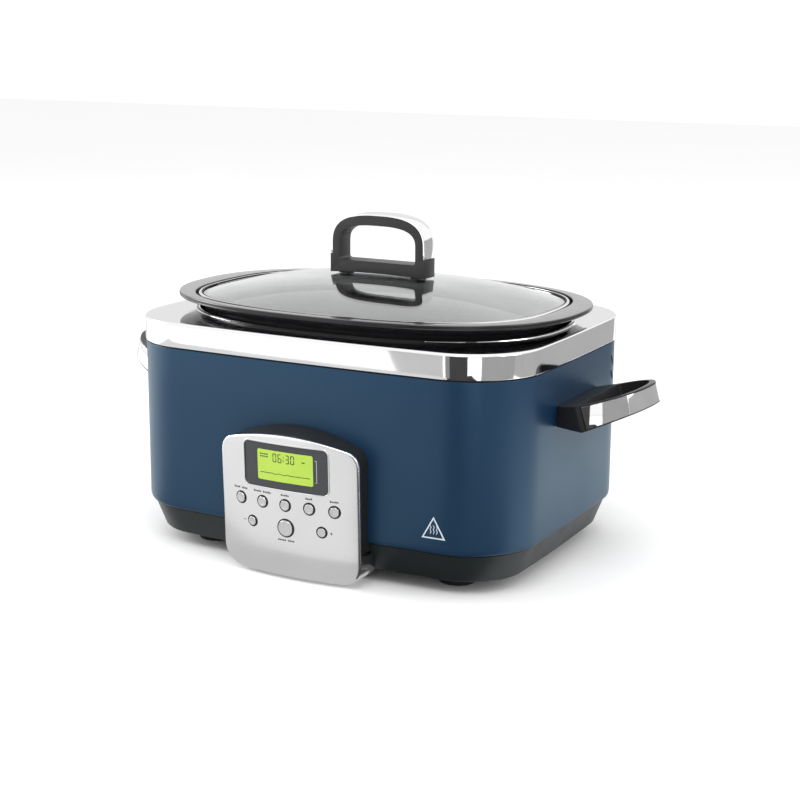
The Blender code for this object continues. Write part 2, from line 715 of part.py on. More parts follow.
def make_sensor():
    """Spring-loaded temperature sensor that presses up against the pot."""
    cup_low = Z_UNDER_WELL - 0.0150
    turned("sensor_holder", [
        (0.0104, Z_UNDER_WELL - GAP), (0.0165, Z_UNDER_WELL - GAP), (0.0165, Z_UNDER_WELL - 0.0011),
        (0.0104, Z_UNDER_WELL - 0.0011), (0.0100, cup_low), (0.0042, cup_low),
        (0.0042, cup_low + 0.0010), (0.0090, cup_low + 0.0010),
    ], STEEL, steps=16, closed=True)
    collar = Z_UNDER_WELL - 0.0016
    plunger = turned("sensor_plunger", [
        (0.0, Z_PLATE), (0.0086, Z_PLATE), (0.0094, Z_PLATE - 0.0008), (0.0094, Z_PLATE - 0.0024),
        (0.0034, Z_PLATE - 0.0030), (0.0034, collar), (0.0084, collar), (0.0084, collar - 0.0010),
        (0.0034, collar - 0.0010), (0.0034, cup_low - 0.0012), (0.0, cup_low - 0.0012),
    ], ALUMINIUM, steps=16)
    spring_low, spring_high = cup_low + 0.0019, collar - 0.0019
    turns, steps = 4, 7
    coil = []
    for i in range(turns * steps + 1):
        angle = 2 * math.pi * i / steps
        height = spring_low + (spring_high - spring_low) * i / (turns * steps)
        coil.append((0.0062 * math.cos(angle), 0.0062 * math.sin(angle), height))
    tube("sensor_spring", coil, 0.0006, STEEL, resolution=1)
    joint_empty("sensor_joint", (0.0, 0.0, Z_PLATE), [plunger])
    cutout = turned("thermal_cutout", [
        (0.0, Z_UNDER_WELL - GAP), (0.0080, Z_UNDER_WELL - GAP), (0.0080, Z_UNDER_WELL - 0.0040),
        (0.0060, Z_UNDER_WELL - 0.0044), (0.0060, Z_UNDER_WELL - 0.0074), (0.0, Z_UNDER_WELL - 0.0074),
    ], BLACK_PLASTIC, steps=12)
    cutout.location = (CUTOUT_X, 0.0, 0.0)


# ---------------------------------------------------------------- pot and lid
def make_pot():
    def wall(offset, z):
        return oval(POT, offset, z)

    def flange(offset, z):
        return oval(FLANGE, offset, z)

    def seat(offset, z):
        return oval(LID, offset, z, LID_POWER)
    floor = Z_POT + POT_WALL
    t = POT_WALL
    return loft("pot", [
        wall(-t - POT_DRAFT - 0.0150, floor),
        wall(-t - POT_DRAFT - 0.0062, floor + 0.0024),
        wall(-t - POT_DRAFT, floor + 0.0160),
        wall(-t, Z_SEAT - 0.0030),
        wall(-t + 0.0018, Z_SEAT),
        seat(0.0014, Z_SEAT),
        seat(0.0020, Z_FLANGE - 0.0006),
        seat(0.0026, Z_FLANGE),
        flange(-0.0010, Z_FLANGE),
        flange(0.0, Z_FLANGE - 0.0010),
        flange(0.0, Z_FLANGE - FLANGE_EDGE + 0.0006),
        flange(-0.0012, Z_FLANGE - FLANGE_EDGE),
        flange(-0.0080, Z_FLANGE - FLANGE_EDGE - 0.0028),
        wall(0.0028, Z_DECK + BEAD_HEIGHT + 0.0020),
        wall(0.0, Z_DECK - 0.0040),
        wall(-POT_DRAFT, Z_POT + 0.0180),
        wall(-POT_DRAFT - 0.0068, Z_POT + 0.0022),
        wall(-POT_DRAFT - 0.0150, Z_POT),
    ], COATING)


def make_rim():
    def rim(inset, height):
        return oval(LID, -inset, Z_RIM + height, LID_POWER)
    return loft("lid_rim", [
        rim(0.0008, 0.0), rim(0.0, 0.0008), rim(0.0, RIM_HEIGHT - 0.0010), rim(0.0008, RIM_HEIGHT - 0.0002),
        rim(RIM_WIDTH, RIM_HEIGHT), rim(RIM_WIDTH, RIM_HEIGHT - 0.0007), rim(0.0010, RIM_HEIGHT - 0.0008),
        rim(0.0010, 0.0008), rim(0.0034, 0.0008), rim(0.0034, 0.0),
    ], CHROME, ring=True)


def dome_rise(share):
    """Height of the dome above its edge, at a share of the way out from the middle."""
    return DOME_RISE * (1 - share ** 2.2)


def make_glass():
    edge = (LID[0] - 0.0014, LID[1] - 0.0014)
    start = 1 - 0.0040 / edge[0]
    shares = (start, 0.92, 0.82, 0.66, 0.46, 0.22)
    under = []
    over = []
    for share in shares:
        half = (edge[0] * share, edge[1] * share)
        rise = dome_rise(share) - dome_rise(start)
        under.append(oval(half, 0.0, Z_GLASS_EDGE + rise, LID_POWER))
        over.append(oval(half, 0.0, Z_GLASS_EDGE + GLASS_THICK + rise, LID_POWER))
    edge_low = oval(edge, 0.0, Z_GLASS_EDGE, LID_POWER)
    edge_high = oval(edge, 0.0, Z_GLASS_EDGE + GLASS_THICK, LID_POWER)
    glass = loft("lid_glass", under[::-1] + [edge_low, edge_high] + over, GLASS)
    for side, x in (("left", -KNOB_BOSS_X), ("right", KNOB_BOSS_X)):
        cut(glass, cylinder(f"glass_hole_{side}", 0.0028, (x, 0, Z_GLASS_EDGE), (x, 0, Z_APEX + 0.01), None))
    return glass


def glass_top(x):
    edge = LID[0] - 0.0014
    start = 1 - 0.0040 / edge
    return Z_GLASS_EDGE + GLASS_THICK + dome_rise(abs(x) / edge) - dome_rise(start)


def make_knob():
    """Arched lift handle: black core, bright cap, and a screw through the glass at each end."""
    low = Z_KNOB
    bar_top = low + KNOB_BAR_HEIGHT
    spring = low + KNOB_SHOULDER - 0.009       # where the straight sides turn into the arch
    arch_top = low + KNOB_HEIGHT - KNOB_CAP - GAP
    outer = arch(KNOB_HALF_WIDTH - KNOB_CAP - GAP, bar_top, spring, arch_top, ARCH_STEPS)
    wide = KNOB_HALF_WIDTH + 0.0004
    under = []
    for i in range(9):
        x = wide * (i / 4 - 1)
        under.append((x, low + glass_top(x) - glass_top(0.0)))
    foot = [(-wide, bar_top)] + under + [(wide, bar_top)]
    sill = low + KNOB_OPENING_LOW
    opening = arch(KNOB_OPENING_HALF, sill + 0.0022, low + KNOB_SHOULDER - 0.007, low + KNOB_OPENING_TOP,
                   ARCH_STEPS - 4)
    opening += [(-KNOB_OPENING_HALF + 0.0022, sill), (KNOB_OPENING_HALF - 0.0022, sill)]
    core = flat_piece("knob_core", [outer + foot, opening], KNOB_DEPTH, BLACK_PLASTIC, FRONT_VIEW)
    round_edges(core, 0.0009)
    for side, x in (("left", -KNOB_BOSS_X), ("right", KNOB_BOSS_X)):
        foot_z = glass_top(x) + GAP
        join(core, cylinder(f"knob_boss_{side}", 0.0065, (x, 0, foot_z), (x, 0, low + 0.003), None, 20))
    for side, x in (("left", -KNOB_BOSS_X), ("right", KNOB_BOSS_X)):
        bore = ((x, 0, low - 0.01), (x, 0, low + 0.0070))
        cut(core, cylinder(f"knob_bore_{side}", 0.0022, *bore, None, 12))
    cap_out = arch(KNOB_HALF_WIDTH, bar_top + GAP, spring, low + KNOB_HEIGHT, ARCH_STEPS)
    cap_in = arch(KNOB_HALF_WIDTH - KNOB_CAP, bar_top + GAP, spring, low + KNOB_HEIGHT - KNOB_CAP, ARCH_STEPS)
    cap = flat_piece("knob_cap", [cap_out + cap_in[::-1]], KNOB_DEPTH - 0.0008, CHROME, FRONT_VIEW)
    pieces = [core, cap]
    for side, x in (("left", -KNOB_BOSS_X), ("right", KNOB_BOSS_X)):
        under = glass_top(x) - GLASS_THICK - 0.0006
        screw = turned(f"knob_screw_{side}", [
            (0.0, low + 0.0064), (0.0018, low + 0.0056), (0.0018, under), (0.0055, under),
            (0.0055, under - 0.0012), (0.0034, under - 0.0026), (0.0, under - 0.0026),
        ], STEEL, steps=10)
        screw.location = (x, 0.0, 0.0)
        pieces.append(screw)
    return pieces


# ---------------------------------------------------------------- side handles
def handle_root():
    """Height of the middle of a handle's level root."""
    return Z_SHELL + HANDLE_LEVEL + HANDLE_BEND * math.sin(HANDLE_TILT)


def bend_handle(point):
    """Takes a point of the flat handle to its place: a level, narrowing root and a tilted loop."""
    x, y, z = point
    inner = max(0.0, 1 - x / HANDLE_BEND)
    outer = max(0.0, (x - HANDLE_BEND) / (HANDLE_REACH - HANDLE_BEND))
    if z < 0:
        z *= 1 - HANDLE_TAPER * outer
    else:
        z *= 1 - ROOT_SINK * inner
    y *= 1 - ROOT_NARROWING * inner
    lean = 1 - inner
    out = x * math.cos(HANDLE_TILT) - z * math.sin(HANDLE_TILT) * lean
    rise = max(x, HANDLE_BEND) * math.sin(HANDLE_TILT) + z * math.cos(HANDLE_TILT)
    return Vector((BODY_END + out, y, Z_SHELL + HANDLE_LEVEL + rise))


def handle_piece(name, outlines, height, colour, side):
    """A flat loop bent to the handle's line; the left handle is the right one turned round."""
    obj = flat_piece(name, outlines, height, colour, Matrix.Identity(4))
    bm = bmesh.new()
    bm.from_mesh(obj.data)
    bmesh.ops.bisect_plane(bm, geom=bm.verts[:] + bm.edges[:] + bm.faces[:], dist=MERGE,
                           plane_co=(HANDLE_BEND, 0, 0), plane_no=(1, 0, 0))
    for vert in bm.verts:
        vert.co = bend_handle(vert.co)
    bmesh.ops.transform(bm, matrix=Matrix.Rotation(0.0 if side > 0 else math.pi, 4, "Z"), verts=bm.verts)
    bm.to_mesh(obj.data)
    bm.free()
    return obj


def handle_screw_holes(name):
    level = handle_root()
    return [cylinder(f"{name}_{side}_{sy}", 0.0023, (side * (BODY_END - 0.012), sy * HANDLE_SCREW_Y, level),
                     (side * (BODY_END + 0.0066), sy * HANDLE_SCREW_Y, level), None, 12)
            for side in (1, -1) for sy in (1, -1)]


def trim_band(start, thickness, proud=0.0):
    """Outline of the bright band round the outside of a handle, or of the room for it."""
    outer, inner = [
        [point for point in half_oval(HANDLE_REACH + spread, HANDLE_HALF_SPAN + spread, HANDLE_STEPS)
         if point[0] > start]
        for spread in (proud, -thickness)]
    return outer + inner[::-1]


def make_handle(side, name, envelope):
    lip = 0.0002
    outer = half_oval(HANDLE_REACH - lip, HANDLE_HALF_SPAN - lip, HANDLE_STEPS)
    inside = [(-0.008, HANDLE_HALF_SPAN - lip), (-0.008, -HANDLE_HALF_SPAN + lip)]
    gap_reach = HANDLE_REACH - HANDLE_BAND - HANDLE_BAR
    gap_span = HANDLE_HALF_SPAN - HANDLE_BAND
    opening = [(x + HANDLE_BAR, y) for x, y in half_oval(gap_reach, gap_span, HANDLE_STEPS - 8)]
    grip = handle_piece(f"{name}_handle", [outer + inside, opening], HANDLE_HEIGHT, BLACK_PLASTIC, side)
    round_edges(grip, 0.0012)
    room = trim_band(TRIM_START - GAP, TRIM_THICK + GAP, 0.004)
    groove = handle_piece(f"{name}_groove", [room], TRIM_HEIGHT + 2 * GAP, None, side)
    cut(grip, groove, envelope)
    handle_piece(f"{name}_handle_trim", [trim_band(TRIM_START, TRIM_THICK)], TRIM_HEIGHT, CHROME, side)
    level = handle_root()
    outer_face = BODY_END - SHEET - 2 * GAP - 0.0004
    plate = box(f"{name}_handle_plate", (outer_face - 0.0015, -0.042, level - 0.010),
                (outer_face, 0.042, level + 0.010), STEEL)
    if side < 0:
        plate.matrix_world = Matrix.Rotation(math.pi, 4, "Z")
    bores = [cylinder(f"{name}_bore_{sy}", 0.0023, (side * (BODY_END - 0.012), sy * HANDLE_SCREW_Y, level),
                      (side * (BODY_END + 0.0066), sy * HANDLE_SCREW_Y, level), None, 8) for sy in (1, -1)]
    cut(grip, *bores)
    cut(plate, *bores)
    tip = BODY_END + 0.0056
    head = outer_face - 0.0015 - GAP - tip
    for label, sy in (("front", -1), ("rear", 1)):
        screw = turned(f"{name}_handle_screw_{label}", [
            (0.0, 0.0), (0.0012, 0.0), (SCREW_RADIUS, -0.0008), (SCREW_RADIUS, head),
            (0.0038, head), (0.0036, head - 0.0020), (0.0, head - 0.0026),
        ], STEEL, steps=8)
        place(screw, (side * tip, sy * HANDLE_SCREW_Y, level), (side, 0, 0))


# ---------------------------------------------------------------- control panel
def stations(half_width, count):
    return [half_width * (2 * i / count - 1) for i in range(count + 1)]


def curved_slab(name, half_width, low, high, depth_out, depth_in, colour, count=12):
    """A slab that follows the fascia's curve, between two depths behind its face."""
    sections = []
    for x in stations(half_width, count):
        sections.append([Vector((x, face_y(x, z, depth), z)) for z, depth in
                         ((low, depth_out), (high, depth_out), (high, depth_in), (low, depth_in))])
    return loft(name, sections, colour)


def make_fascia(envelope):
    """Bright front skin with a hollow toe that curls back under the base."""
    toe_back = -BODY_FRONT - PANEL_REACH + TOE_REACH
    sections = []
    for x in stations(PANEL_HALF_WIDTH + 0.004, 12):
        front = face_y(x, CREASE)
        section = [(face_y(x, PANEL_TOP + 0.004), PANEL_TOP + 0.004), (front, CREASE)]
        for i in range(1, 6):
            turn = math.pi / 2 * i / 5
            drop = (CREASE - TOE_BOTTOM) * math.sin(turn)
            section.append((front + TOE_CURL * (1 - math.cos(turn)), CREASE - drop))
        section.append((toe_back, TOE_BOTTOM + 0.001))
        section.append((toe_back, CREASE - 0.001))
        section.append((face_y(x, CREASE, FASCIA_THICK), CREASE - 0.001))
        section.append((face_y(x, PANEL_TOP + 0.004, FASCIA_THICK), PANEL_TOP + 0.004))
        sections.append([Vector((x, y, z)) for y, z in section])
    fascia = loft("panel_fascia", sections, CHROME)
    outline = panel_outline(PANEL_HALF_WIDTH, TOE_BOTTOM - 0.0002, PANEL_TOP, PANEL_SIDE_DROP,
                            PANEL_CORNER, PANEL_FOOT_CORNER)
    prism = flat_piece("fascia_outline", [outline], 0.12, None, PANEL_FRAME)
    cut(fascia, prism, operation="INTERSECT")
    hollow = box("toe_hollow", (-0.0405, toe_back - TOE_REACH + 0.0150, TOE_BOTTOM + 0.0043),
                 (0.0405, toe_back - 0.0025, CREASE + 0.0015), None)
    window = flat_piece("window_opening", [window_outline(0.0)], 0.05, None, PANEL_FRAME)
    cut(fascia, hollow, window, envelope)
    for name, x, z, radius in BUTTONS:
        centre = Vector((x, face_y(x, z), z))
        hole = cylinder(f"{name}_hole", radius + CAP_GAP, centre - face_normal(x) * 0.006,
                        centre + face_normal(x) * 0.004, None, 14)
        cut(fascia, hole)


def window_outline(inset):
    half, low, high = WINDOW_HALF_WIDTH - inset, WINDOW_LOW + inset, WINDOW_HIGH - inset
    radius = WINDOW_CORNER - inset
    points = []
    for sx, sz, turn in ((1, 1, 0), (-1, 1, 90), (-1, -1, 180), (1, -1, 270)):
        z = high - radius if sz > 0 else low + radius
        points += arc((sx * (half - radius), z), radius, turn, turn + 90, 5)
    return points


def make_window():
    spare = 0.002
    window = curved_slab("display_window", WINDOW_HALF_WIDTH + spare, WINDOW_LOW - spare, WINDOW_HIGH + spare,
                         WINDOW_RECESS, WINDOW_RECESS + WINDOW_THICK, DARK_WINDOW, 10)
    prism = flat_piece("window_prism", [window_outline(GAP)], 0.05, None, PANEL_FRAME)
    cut(window, prism, operation="INTERSECT")


def make_panel_housing(envelope):
    """Black frame between the fascia and the body."""
    depth = FASCIA_THICK + GAP
    low = CREASE - 0.001 + GAP

    def loop(inset, back):
        rise = HOUSING_RISE if back else 0.0
        high = PANEL_TOP + 0.0002 + rise - inset
        outline = panel_outline(PANEL_HALF_WIDTH - inset, low, high, PANEL_SIDE_DROP + rise * 0.8,
                                PANEL_CORNER, 0.004)
        if back:
            return [Vector((x, -BODY_FRONT + 0.016, z)) for x, z in outline]
        return [Vector((x, face_y(x, z, depth), z)) for x, z in outline]

    def grounded(points, inset):
        """Raises the lower edge of an inner loop by the wall."""
        return [Vector((p.x, p.y, max(p.z, low + inset))) for p in points]
    wall = 0.0010 + PLASTIC
    housing = loft("panel_housing", [
        loop(0.0010, False), loop(0.0010, True),
        grounded(loop(wall, True), PLASTIC), grounded(loop(wall, False), PLASTIC),
    ], BLACK_PLASTIC, ring=True)
    cut(housing, envelope)


def make_buttons():
    stem_tip = board_front_y() - 0.0033        # leaves each button room to travel to its switch
    flange = FASCIA_THICK + GAP
    for name, x, z, radius in BUTTONS:
        centre = Vector((x, face_y(x, z), z))
        stem = stem_tip - centre.y
        wide = radius + CAP_GAP + 0.0010
        button = turned(name, [
            (0.0, BUTTON_PROUD), (radius - 0.0008, BUTTON_PROUD), (radius, BUTTON_PROUD - 0.0006),
            (radius, -flange), (wide, -flange), (wide, -flange - 0.0009),
            (0.0018, -flange - 0.0009), (0.0018, -stem), (0.0, -stem),
        ], CHROME, steps=14)
        place(button, centre, face_normal(x))


def board_front_y():
    """Front of the control board, clear of the deepest part of the curved fascia."""
    return -BODY_FRONT - 0.0086


def make_panel_electronics():
    front = board_front_y()
    thick = 0.0016
    half = PANEL_HALF_WIDTH - 0.0103
    board = box("control_board", (-half, front, CREASE + 0.006), (half, front + thick, PANEL_TOP - 0.0115),
                BOARD_GREEN)
    size = 0.003
    for name, x, z, _ in BUTTONS:
        low, high = (x - size, front - 0.0020, z - size), (x + size, front + 0.0004, z + size)
        join(board, box(f"switch_{name}", low, high, None))
    glass_back = max(face_y(LCD_HALF_WIDTH, z, WINDOW_RECESS + WINDOW_THICK) for z in (LCD_LOW, LCD_HIGH))
    box("lcd_module", (-LCD_HALF_WIDTH, glass_back + 0.0006, LCD_LOW),
        (LCD_HALF_WIDTH, front - GAP, LCD_HIGH), LCD_GREEN, 0.0006)
    return front + thick


# ---------------------------------------------------------------- power electronics
def board_posts():
    inset = 0.006
    return [(x, y) for x in (BOARD_LOW[0] + inset, BOARD_HIGH[0] - inset)
            for y in (BOARD_LOW[1] + inset, BOARD_HIGH[1] - inset)]


def make_power_board(lead_x, lead_y, lead_z, control_back):
    low = POST_TOP + GAP
    top = low + 0.0016
    board = box("power_board", (*BOARD_LOW, low), (*BOARD_HIGH, top), BOARD_GREEN)
    components = ((-0.068, 0.030, 0.024, 0.030, 0.018), (-0.035, 0.058, 0.028, 0.022, 0.020),
                  (0.005, 0.037, 0.013, 0.014, 0.015))
    for i, (x, y, wide, deep, tall) in enumerate(components):
        join(board, box(f"component_{i}", (x, y, top - 0.0008), (x + wide, y + deep, top + tall), None))
    x, y = 0.006, 0.074
    join(board, cylinder("capacitor", 0.006, (x, y, top - 0.0008), (x, y, top + 0.016), None, 14))
    lift = top + GAP
    for side, name in ((1, "right"), (-1, "left")):
        x = side * lead_x
        end_x = -0.008 + 0.008 * side
        tube(f"element_lead_{name}", [
            (x, lead_y, lead_z - GAP), (x, lead_y, lift + 0.008), (x, lead_y + 0.006, lift + 0.003),
            (x, -0.02, lift + 0.002), (end_x, 0.018, lift + 0.002), (end_x, 0.028, lift + 0.002),
            (end_x, 0.034, lift + 0.0016),
        ], 0.0015, RUBBER, resolution=1)
    front = 0.0115 - BODY_FRONT
    run = lift + 0.0024
    route = [(0.036, run), (0.020, run), (front + 0.010, run), (front, lift + 0.012),
             (front, HARNESS_Z - 0.006), (front - 0.004, HARNESS_Z), (control_back + GAP, HARNESS_Z)]
    tube("control_harness", [(HARNESS_X, y, z) for y, z in route], 0.0022, RUBBER, resolution=2)


def centre_on_footprint():
    """Moves everything back until the overall depth is centred on the origin."""
    front = face_y(0.0, PANEL_TOP)
    back = BODY_FRONT + BAND_PROUD
    for obj in bpy.data.objects:
        if obj.parent is None:
            obj.location.y -= (front + back) / 2


def main():
    envelope = body_envelope()
    make_shell()
    make_deck()
    make_base()
    make_gland()
    make_feet()
    make_well()
    lead = make_heater()
    make_sensor()
    pot = make_pot()
    lid_pieces = [make_rim(), make_glass()] + make_knob()
    lid = joint_empty("lid_joint", (0.0, 0.0, Z_SEAT), lid_pieces)
    joint_empty("pot_joint", (0.0, 0.0, Z_POT), [pot, lid])
    for side, name in ((-1, "left"), (1, "right")):
        make_handle(side, name, envelope)
    make_fascia(envelope)
    make_panel_housing(envelope)
    make_window()
    make_buttons()
    control_back = make_panel_electronics()
    make_power_board(*lead, control_back)
    centre_on_footprint()


main()
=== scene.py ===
"""Studio scene of an oval slow cooker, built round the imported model."""

import json
import math

import bmesh
import bpy
from mathutils import Matrix, Vector


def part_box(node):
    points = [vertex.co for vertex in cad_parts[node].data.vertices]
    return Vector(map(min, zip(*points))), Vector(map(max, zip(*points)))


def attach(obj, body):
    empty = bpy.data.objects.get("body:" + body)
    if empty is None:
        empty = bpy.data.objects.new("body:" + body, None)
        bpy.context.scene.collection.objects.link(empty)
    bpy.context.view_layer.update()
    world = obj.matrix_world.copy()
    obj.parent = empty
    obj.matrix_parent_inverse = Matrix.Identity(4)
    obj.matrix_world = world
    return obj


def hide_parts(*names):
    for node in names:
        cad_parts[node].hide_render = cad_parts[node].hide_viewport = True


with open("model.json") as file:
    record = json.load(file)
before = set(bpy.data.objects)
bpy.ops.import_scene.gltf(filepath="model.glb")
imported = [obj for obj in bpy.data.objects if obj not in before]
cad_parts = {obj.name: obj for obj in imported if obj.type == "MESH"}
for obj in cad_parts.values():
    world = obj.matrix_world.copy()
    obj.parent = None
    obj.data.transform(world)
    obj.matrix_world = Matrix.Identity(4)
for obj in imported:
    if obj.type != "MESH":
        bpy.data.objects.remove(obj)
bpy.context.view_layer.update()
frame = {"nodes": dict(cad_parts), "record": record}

# ---------------- sizes shared with the CAD model
SHELL_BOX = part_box("outer_shell")
DECK_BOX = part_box("top_deck")
POT_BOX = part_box("pot")
RIM_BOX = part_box("lid_rim")
KNOB_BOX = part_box("knob_core")
Y_MID = (SHELL_BOX[0][1] + SHELL_BOX[1][1]) / 2  # the body's middle plane

GAP = 0.0003  # air between pieces that touch
MERGE = 1e-5  # weld distance
SHEET = 0.0010
HALF_LENGTH = 0.175
HALF_DEPTH = 0.12705
CORNER_RADIUS = 0.0555
FRONT_BULGE = 0.0049
END_BULGE = 0.0026
BODY_FRONT = HALF_DEPTH + FRONT_BULGE
BODY_END = HALF_LENGTH + END_BULGE
BASE_TOP_INSET = 0.0036
BASE_FOOT_INSET = 0.0127
BAND_PROUD = 0.0008

Z_BASE = float(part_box("base_housing")[0][2])
Z_SHELL = float(SHELL_BOX[0][2])
Z_BAND = float(DECK_BOX[0][2])
BEAD_HEIGHT = 0.0021  # of the rim round the opening, at its ends
BEAD_LOW_SHARE = 0.02  # its share at the front and back
Z_DECK = float(DECK_BOX[1][2]) - BEAD_HEIGHT
Z_FLANGE = float(POT_BOX[1][2])
Z_POT = float(POT_BOX[0][2])
Z_SEAT = Z_FLANGE - 0.0056
Z_RIM = float(RIM_BOX[0][2])
KNOB_HEIGHT = 0.049
KNOB_CAP = 0.0014
Z_KNOB = float(KNOB_BOX[1][2]) - KNOB_HEIGHT + KNOB_CAP + GAP

OVAL_POWER = 2.42  # superellipse powers of the pot and the lid
LID_POWER = 2.65
FLANGE = (0.1775, 0.1206)  # half axes
POT = (0.1535, 0.1025)
OPENING = (0.1608, 0.1046)
WELL = (0.1632, 0.1070)
LID = (0.1555, 0.1111)
POT_WALL = 0.0028
POT_DRAFT = 0.006
FLANGE_EDGE = 0.0038
BEAD_WIDTH = 0.0042
SKIRT_DEPTH = 0.0075
WELL_SHEET = 0.0008
PLATE_THICK = 0.0072
RIM_HEIGHT = 0.0053
RIM_WIDTH = 0.0023
GLASS_THICK = 0.0031
DOME_RISE = 0.0187
Z_GLASS_EDGE = Z_RIM + 0.0011
Z_APEX = Z_GLASS_EDGE + GLASS_THICK + DOME_RISE
GLASS = (LID[0] - 0.0014, LID[1] - 0.0014)
DOME_START = 1 - 0.0040 / GLASS[0]  # share of the way out where the flat edge begins
DOME_POWER = 2.2

KNOB_HALF_WIDTH = 0.0440
KNOB_DEPTH = 0.018
KNOB_BAR_HEIGHT = 0.0142
KNOB_SHOULDER = 0.0303
KNOB_OPENING_HALF = 0.0356
KNOB_OPENING_LOW = 0.0096
KNOB_POWER = 2.9
KNOB_OPENING_TOP = 0.0395
KNOB_BOSS_X = 0.034

HANDLE_REACH = 0.0665
HANDLE_HALF_SPAN = 0.051
HANDLE_BAND = 0.0062
HANDLE_BAR = 0.0210
HANDLE_BEND = 0.0220
HANDLE_TAPER = 0.45
ROOT_NARROWING = 0.20
ROOT_SINK = 0.35
HANDLE_HEIGHT = 0.0204
HANDLE_TILT = math.radians(17)
HANDLE_POWER = 2.3
TRIM_HEIGHT = 0.0176
TRIM_THICK = 0.0016
TRIM_START = 0.0235
Z_HANDLE = Z_SHELL + 0.0919

PANEL_HALF_WIDTH = 0.0623
PANEL_RADIUS = 0.290
PANEL_REACH = 0.02145
PANEL_TOP = 0.1182
PANEL_SIDE_DROP = 0.0065
PANEL_LEAN = math.radians(2)
PANEL_CORNER = 0.013
PANEL_FOOT_CORNER = 0.020
CREASE = 0.0277
TOE_BOTTOM = 0.0015
TOE_REACH = 0.040
TOE_CURL = 0.008
FASCIA_THICK = 0.0022
HOUSING_RISE = 0.005
WINDOW_HALF_WIDTH = 0.0383
WINDOW_LOW = 0.0745
WINDOW_HIGH = 0.1112
WINDOW_CORNER = 0.005
WINDOW_RECESS = 0.0006
LCD_HALF_WIDTH = 0.0250
LCD_LOW = 0.0809
LCD_HIGH = 0.1053
CAP_GAP = 0.0010
BUTTON_PROUD = 0.0011
PRESET_STEP = 0.02125
BUTTONS = {  # name: x, z, cap radius
    **{f"preset_button_{i + 1}": (PRESET_STEP * (i - 2), 0.0627, 0.0040) for i in range(5)},
    "minus_button": (-0.0316, 0.0451, 0.0035),
    "plus_button": (0.0316, 0.0451, 0.0035),
    "start_stop_button": (0.0, 0.0442, 0.0064),
}

CORNER_STEPS = 18  # facets of the body's outline and of the pot's
FRONT_STEPS = 30
END_STEPS = 22
OVAL_STEPS = 200
FRONT_VIEW = Matrix.Rotation(math.radians(90), 4, "X")  # stands a flat plate up, facing the front
PANEL_FRONT = -BODY_FRONT - PANEL_REACH
PANEL_VIEW = Matrix.Translation((0, PANEL_FRONT, 0)) @ FRONT_VIEW

FLOOR_SIZE = 6.0
CARD_HEIGHT = 0.30  # of the cards that the metal reflects
CAMERA_PLACE = (0.64385, -1.16238, 0.42538)  # from the body's middle plane
CAMERA_AIM = (0.01776, 0.0, 0.11757)
CAMERA_ROLL = math.radians(0.391)
CAMERA_LENS = 72.48


# ---------------- materials
class Nodes:
    """A material's node tree, with short calls for what is used over and over."""

    def __init__(self, name):
        self.material = bpy.data.materials.new(name)
        self.material.use_nodes = True
        self.tree = self.material.node_tree
        self.shader = self.tree.nodes["Principled BSDF"]

    def add(self, kind, **settings):
        node = self.tree.nodes.new(kind)
        for key, value in settings.items():
            setattr(node, key, value)
        return node

    def link(self, source, target):
        self.tree.links.new(source, target)

    def place(self, stretch=(1, 1, 1)):
        """Object coordinates, stretched."""
        coords = self.add("ShaderNodeTexCoord")
        mapping = self.add("ShaderNodeMapping")
        mapping.inputs["Scale"].default_value = stretch
        self.link(coords.outputs["Object"], mapping.inputs["Vector"])
        return mapping.outputs["Vector"]

    def noise(self, scale, detail=3.0, stretch=(1, 1, 1)):
        node = self.add("ShaderNodeTexNoise")
        node.inputs["Scale"].default_value = scale
        node.inputs["Detail"].default_value = detail
        self.link(self.place(stretch), node.inputs["Vector"])
        return node.outputs["Fac"]

    def spread(self, value, low, high, start=0.3, stop=0.7):
        node = self.add("ShaderNodeMapRange")
        for key, number in (("From Min", start), ("From Max", stop), ("To Min", low), ("To Max", high)):
            node.inputs[key].default_value = number
        self.link(value, node.inputs["Value"])
        return node.outputs["Result"]

    def mix(self, share, first, second):
        node = self.add("ShaderNodeMix", data_type="RGBA")
        self.link(share, node.inputs["Factor"])
        for colour, socket in ((first, node.inputs[6]), (second, node.inputs[7])):
            if isinstance(colour, bpy.types.NodeSocket):
                self.link(colour, socket)
            else:
                socket.default_value = (*colour, 1.0)
        return node.outputs[2]

    def bump(self, height, distance, strength=1.0):
        node = self.add("ShaderNodeBump")
        node.inputs["Strength"].default_value = strength
        node.inputs["Distance"].default_value = distance
        self.link(height, node.inputs["Height"])
        return node.outputs["Normal"]

    def feed(self, **sources):
        """Links sources to the shader's inputs."""
        for key, source in sources.items():
            self.link(source, self.shader.inputs[key.replace("_", " ")])

    def set(self, **values):
        for key, value in values.items():
            self.shader.inputs[key.replace("_", " ")].default_value = value


def shade(colour, factor):
    return tuple(min(1.0, c * factor) for c in colour)


def surface(name, colour, roughness, metallic, tone, rough_spread, patch, grain, grain_depth,
            stretch=(1, 1, 1)):
    """A finish whose tone, gloss and fine relief vary over the surface."""
    n = Nodes(name)
    wide = n.noise(patch, 4.0)
    fine = n.noise(grain, 2.0, stretch)
    n.feed(Base_Color=n.mix(wide, shade(colour, 1 - tone), shade(colour, 1 + tone)),
           Roughness=n.spread(wide, roughness - rough_spread, roughness + rough_spread),
           Normal=n.bump(fine, grain_depth))
    n.set(Metallic=metallic)
    return n.material


def polished(name, colour, roughness, scratch_depth=0.000004):
    """Plated metal: hairline polishing marks and faint smears."""
    n = Nodes(name)
    hair = n.noise(60.0, 5.0, (1, 1, 40))
    smear = n.noise(22.0, 5.0)
    n.feed(Base_Color=n.mix(smear, shade(colour, 0.97), colour),
           Roughness=n.spread(smear, roughness * 0.6, roughness * 1.6), Normal=n.bump(hair, scratch_depth))
    n.set(Metallic=1.0)
    return n.material


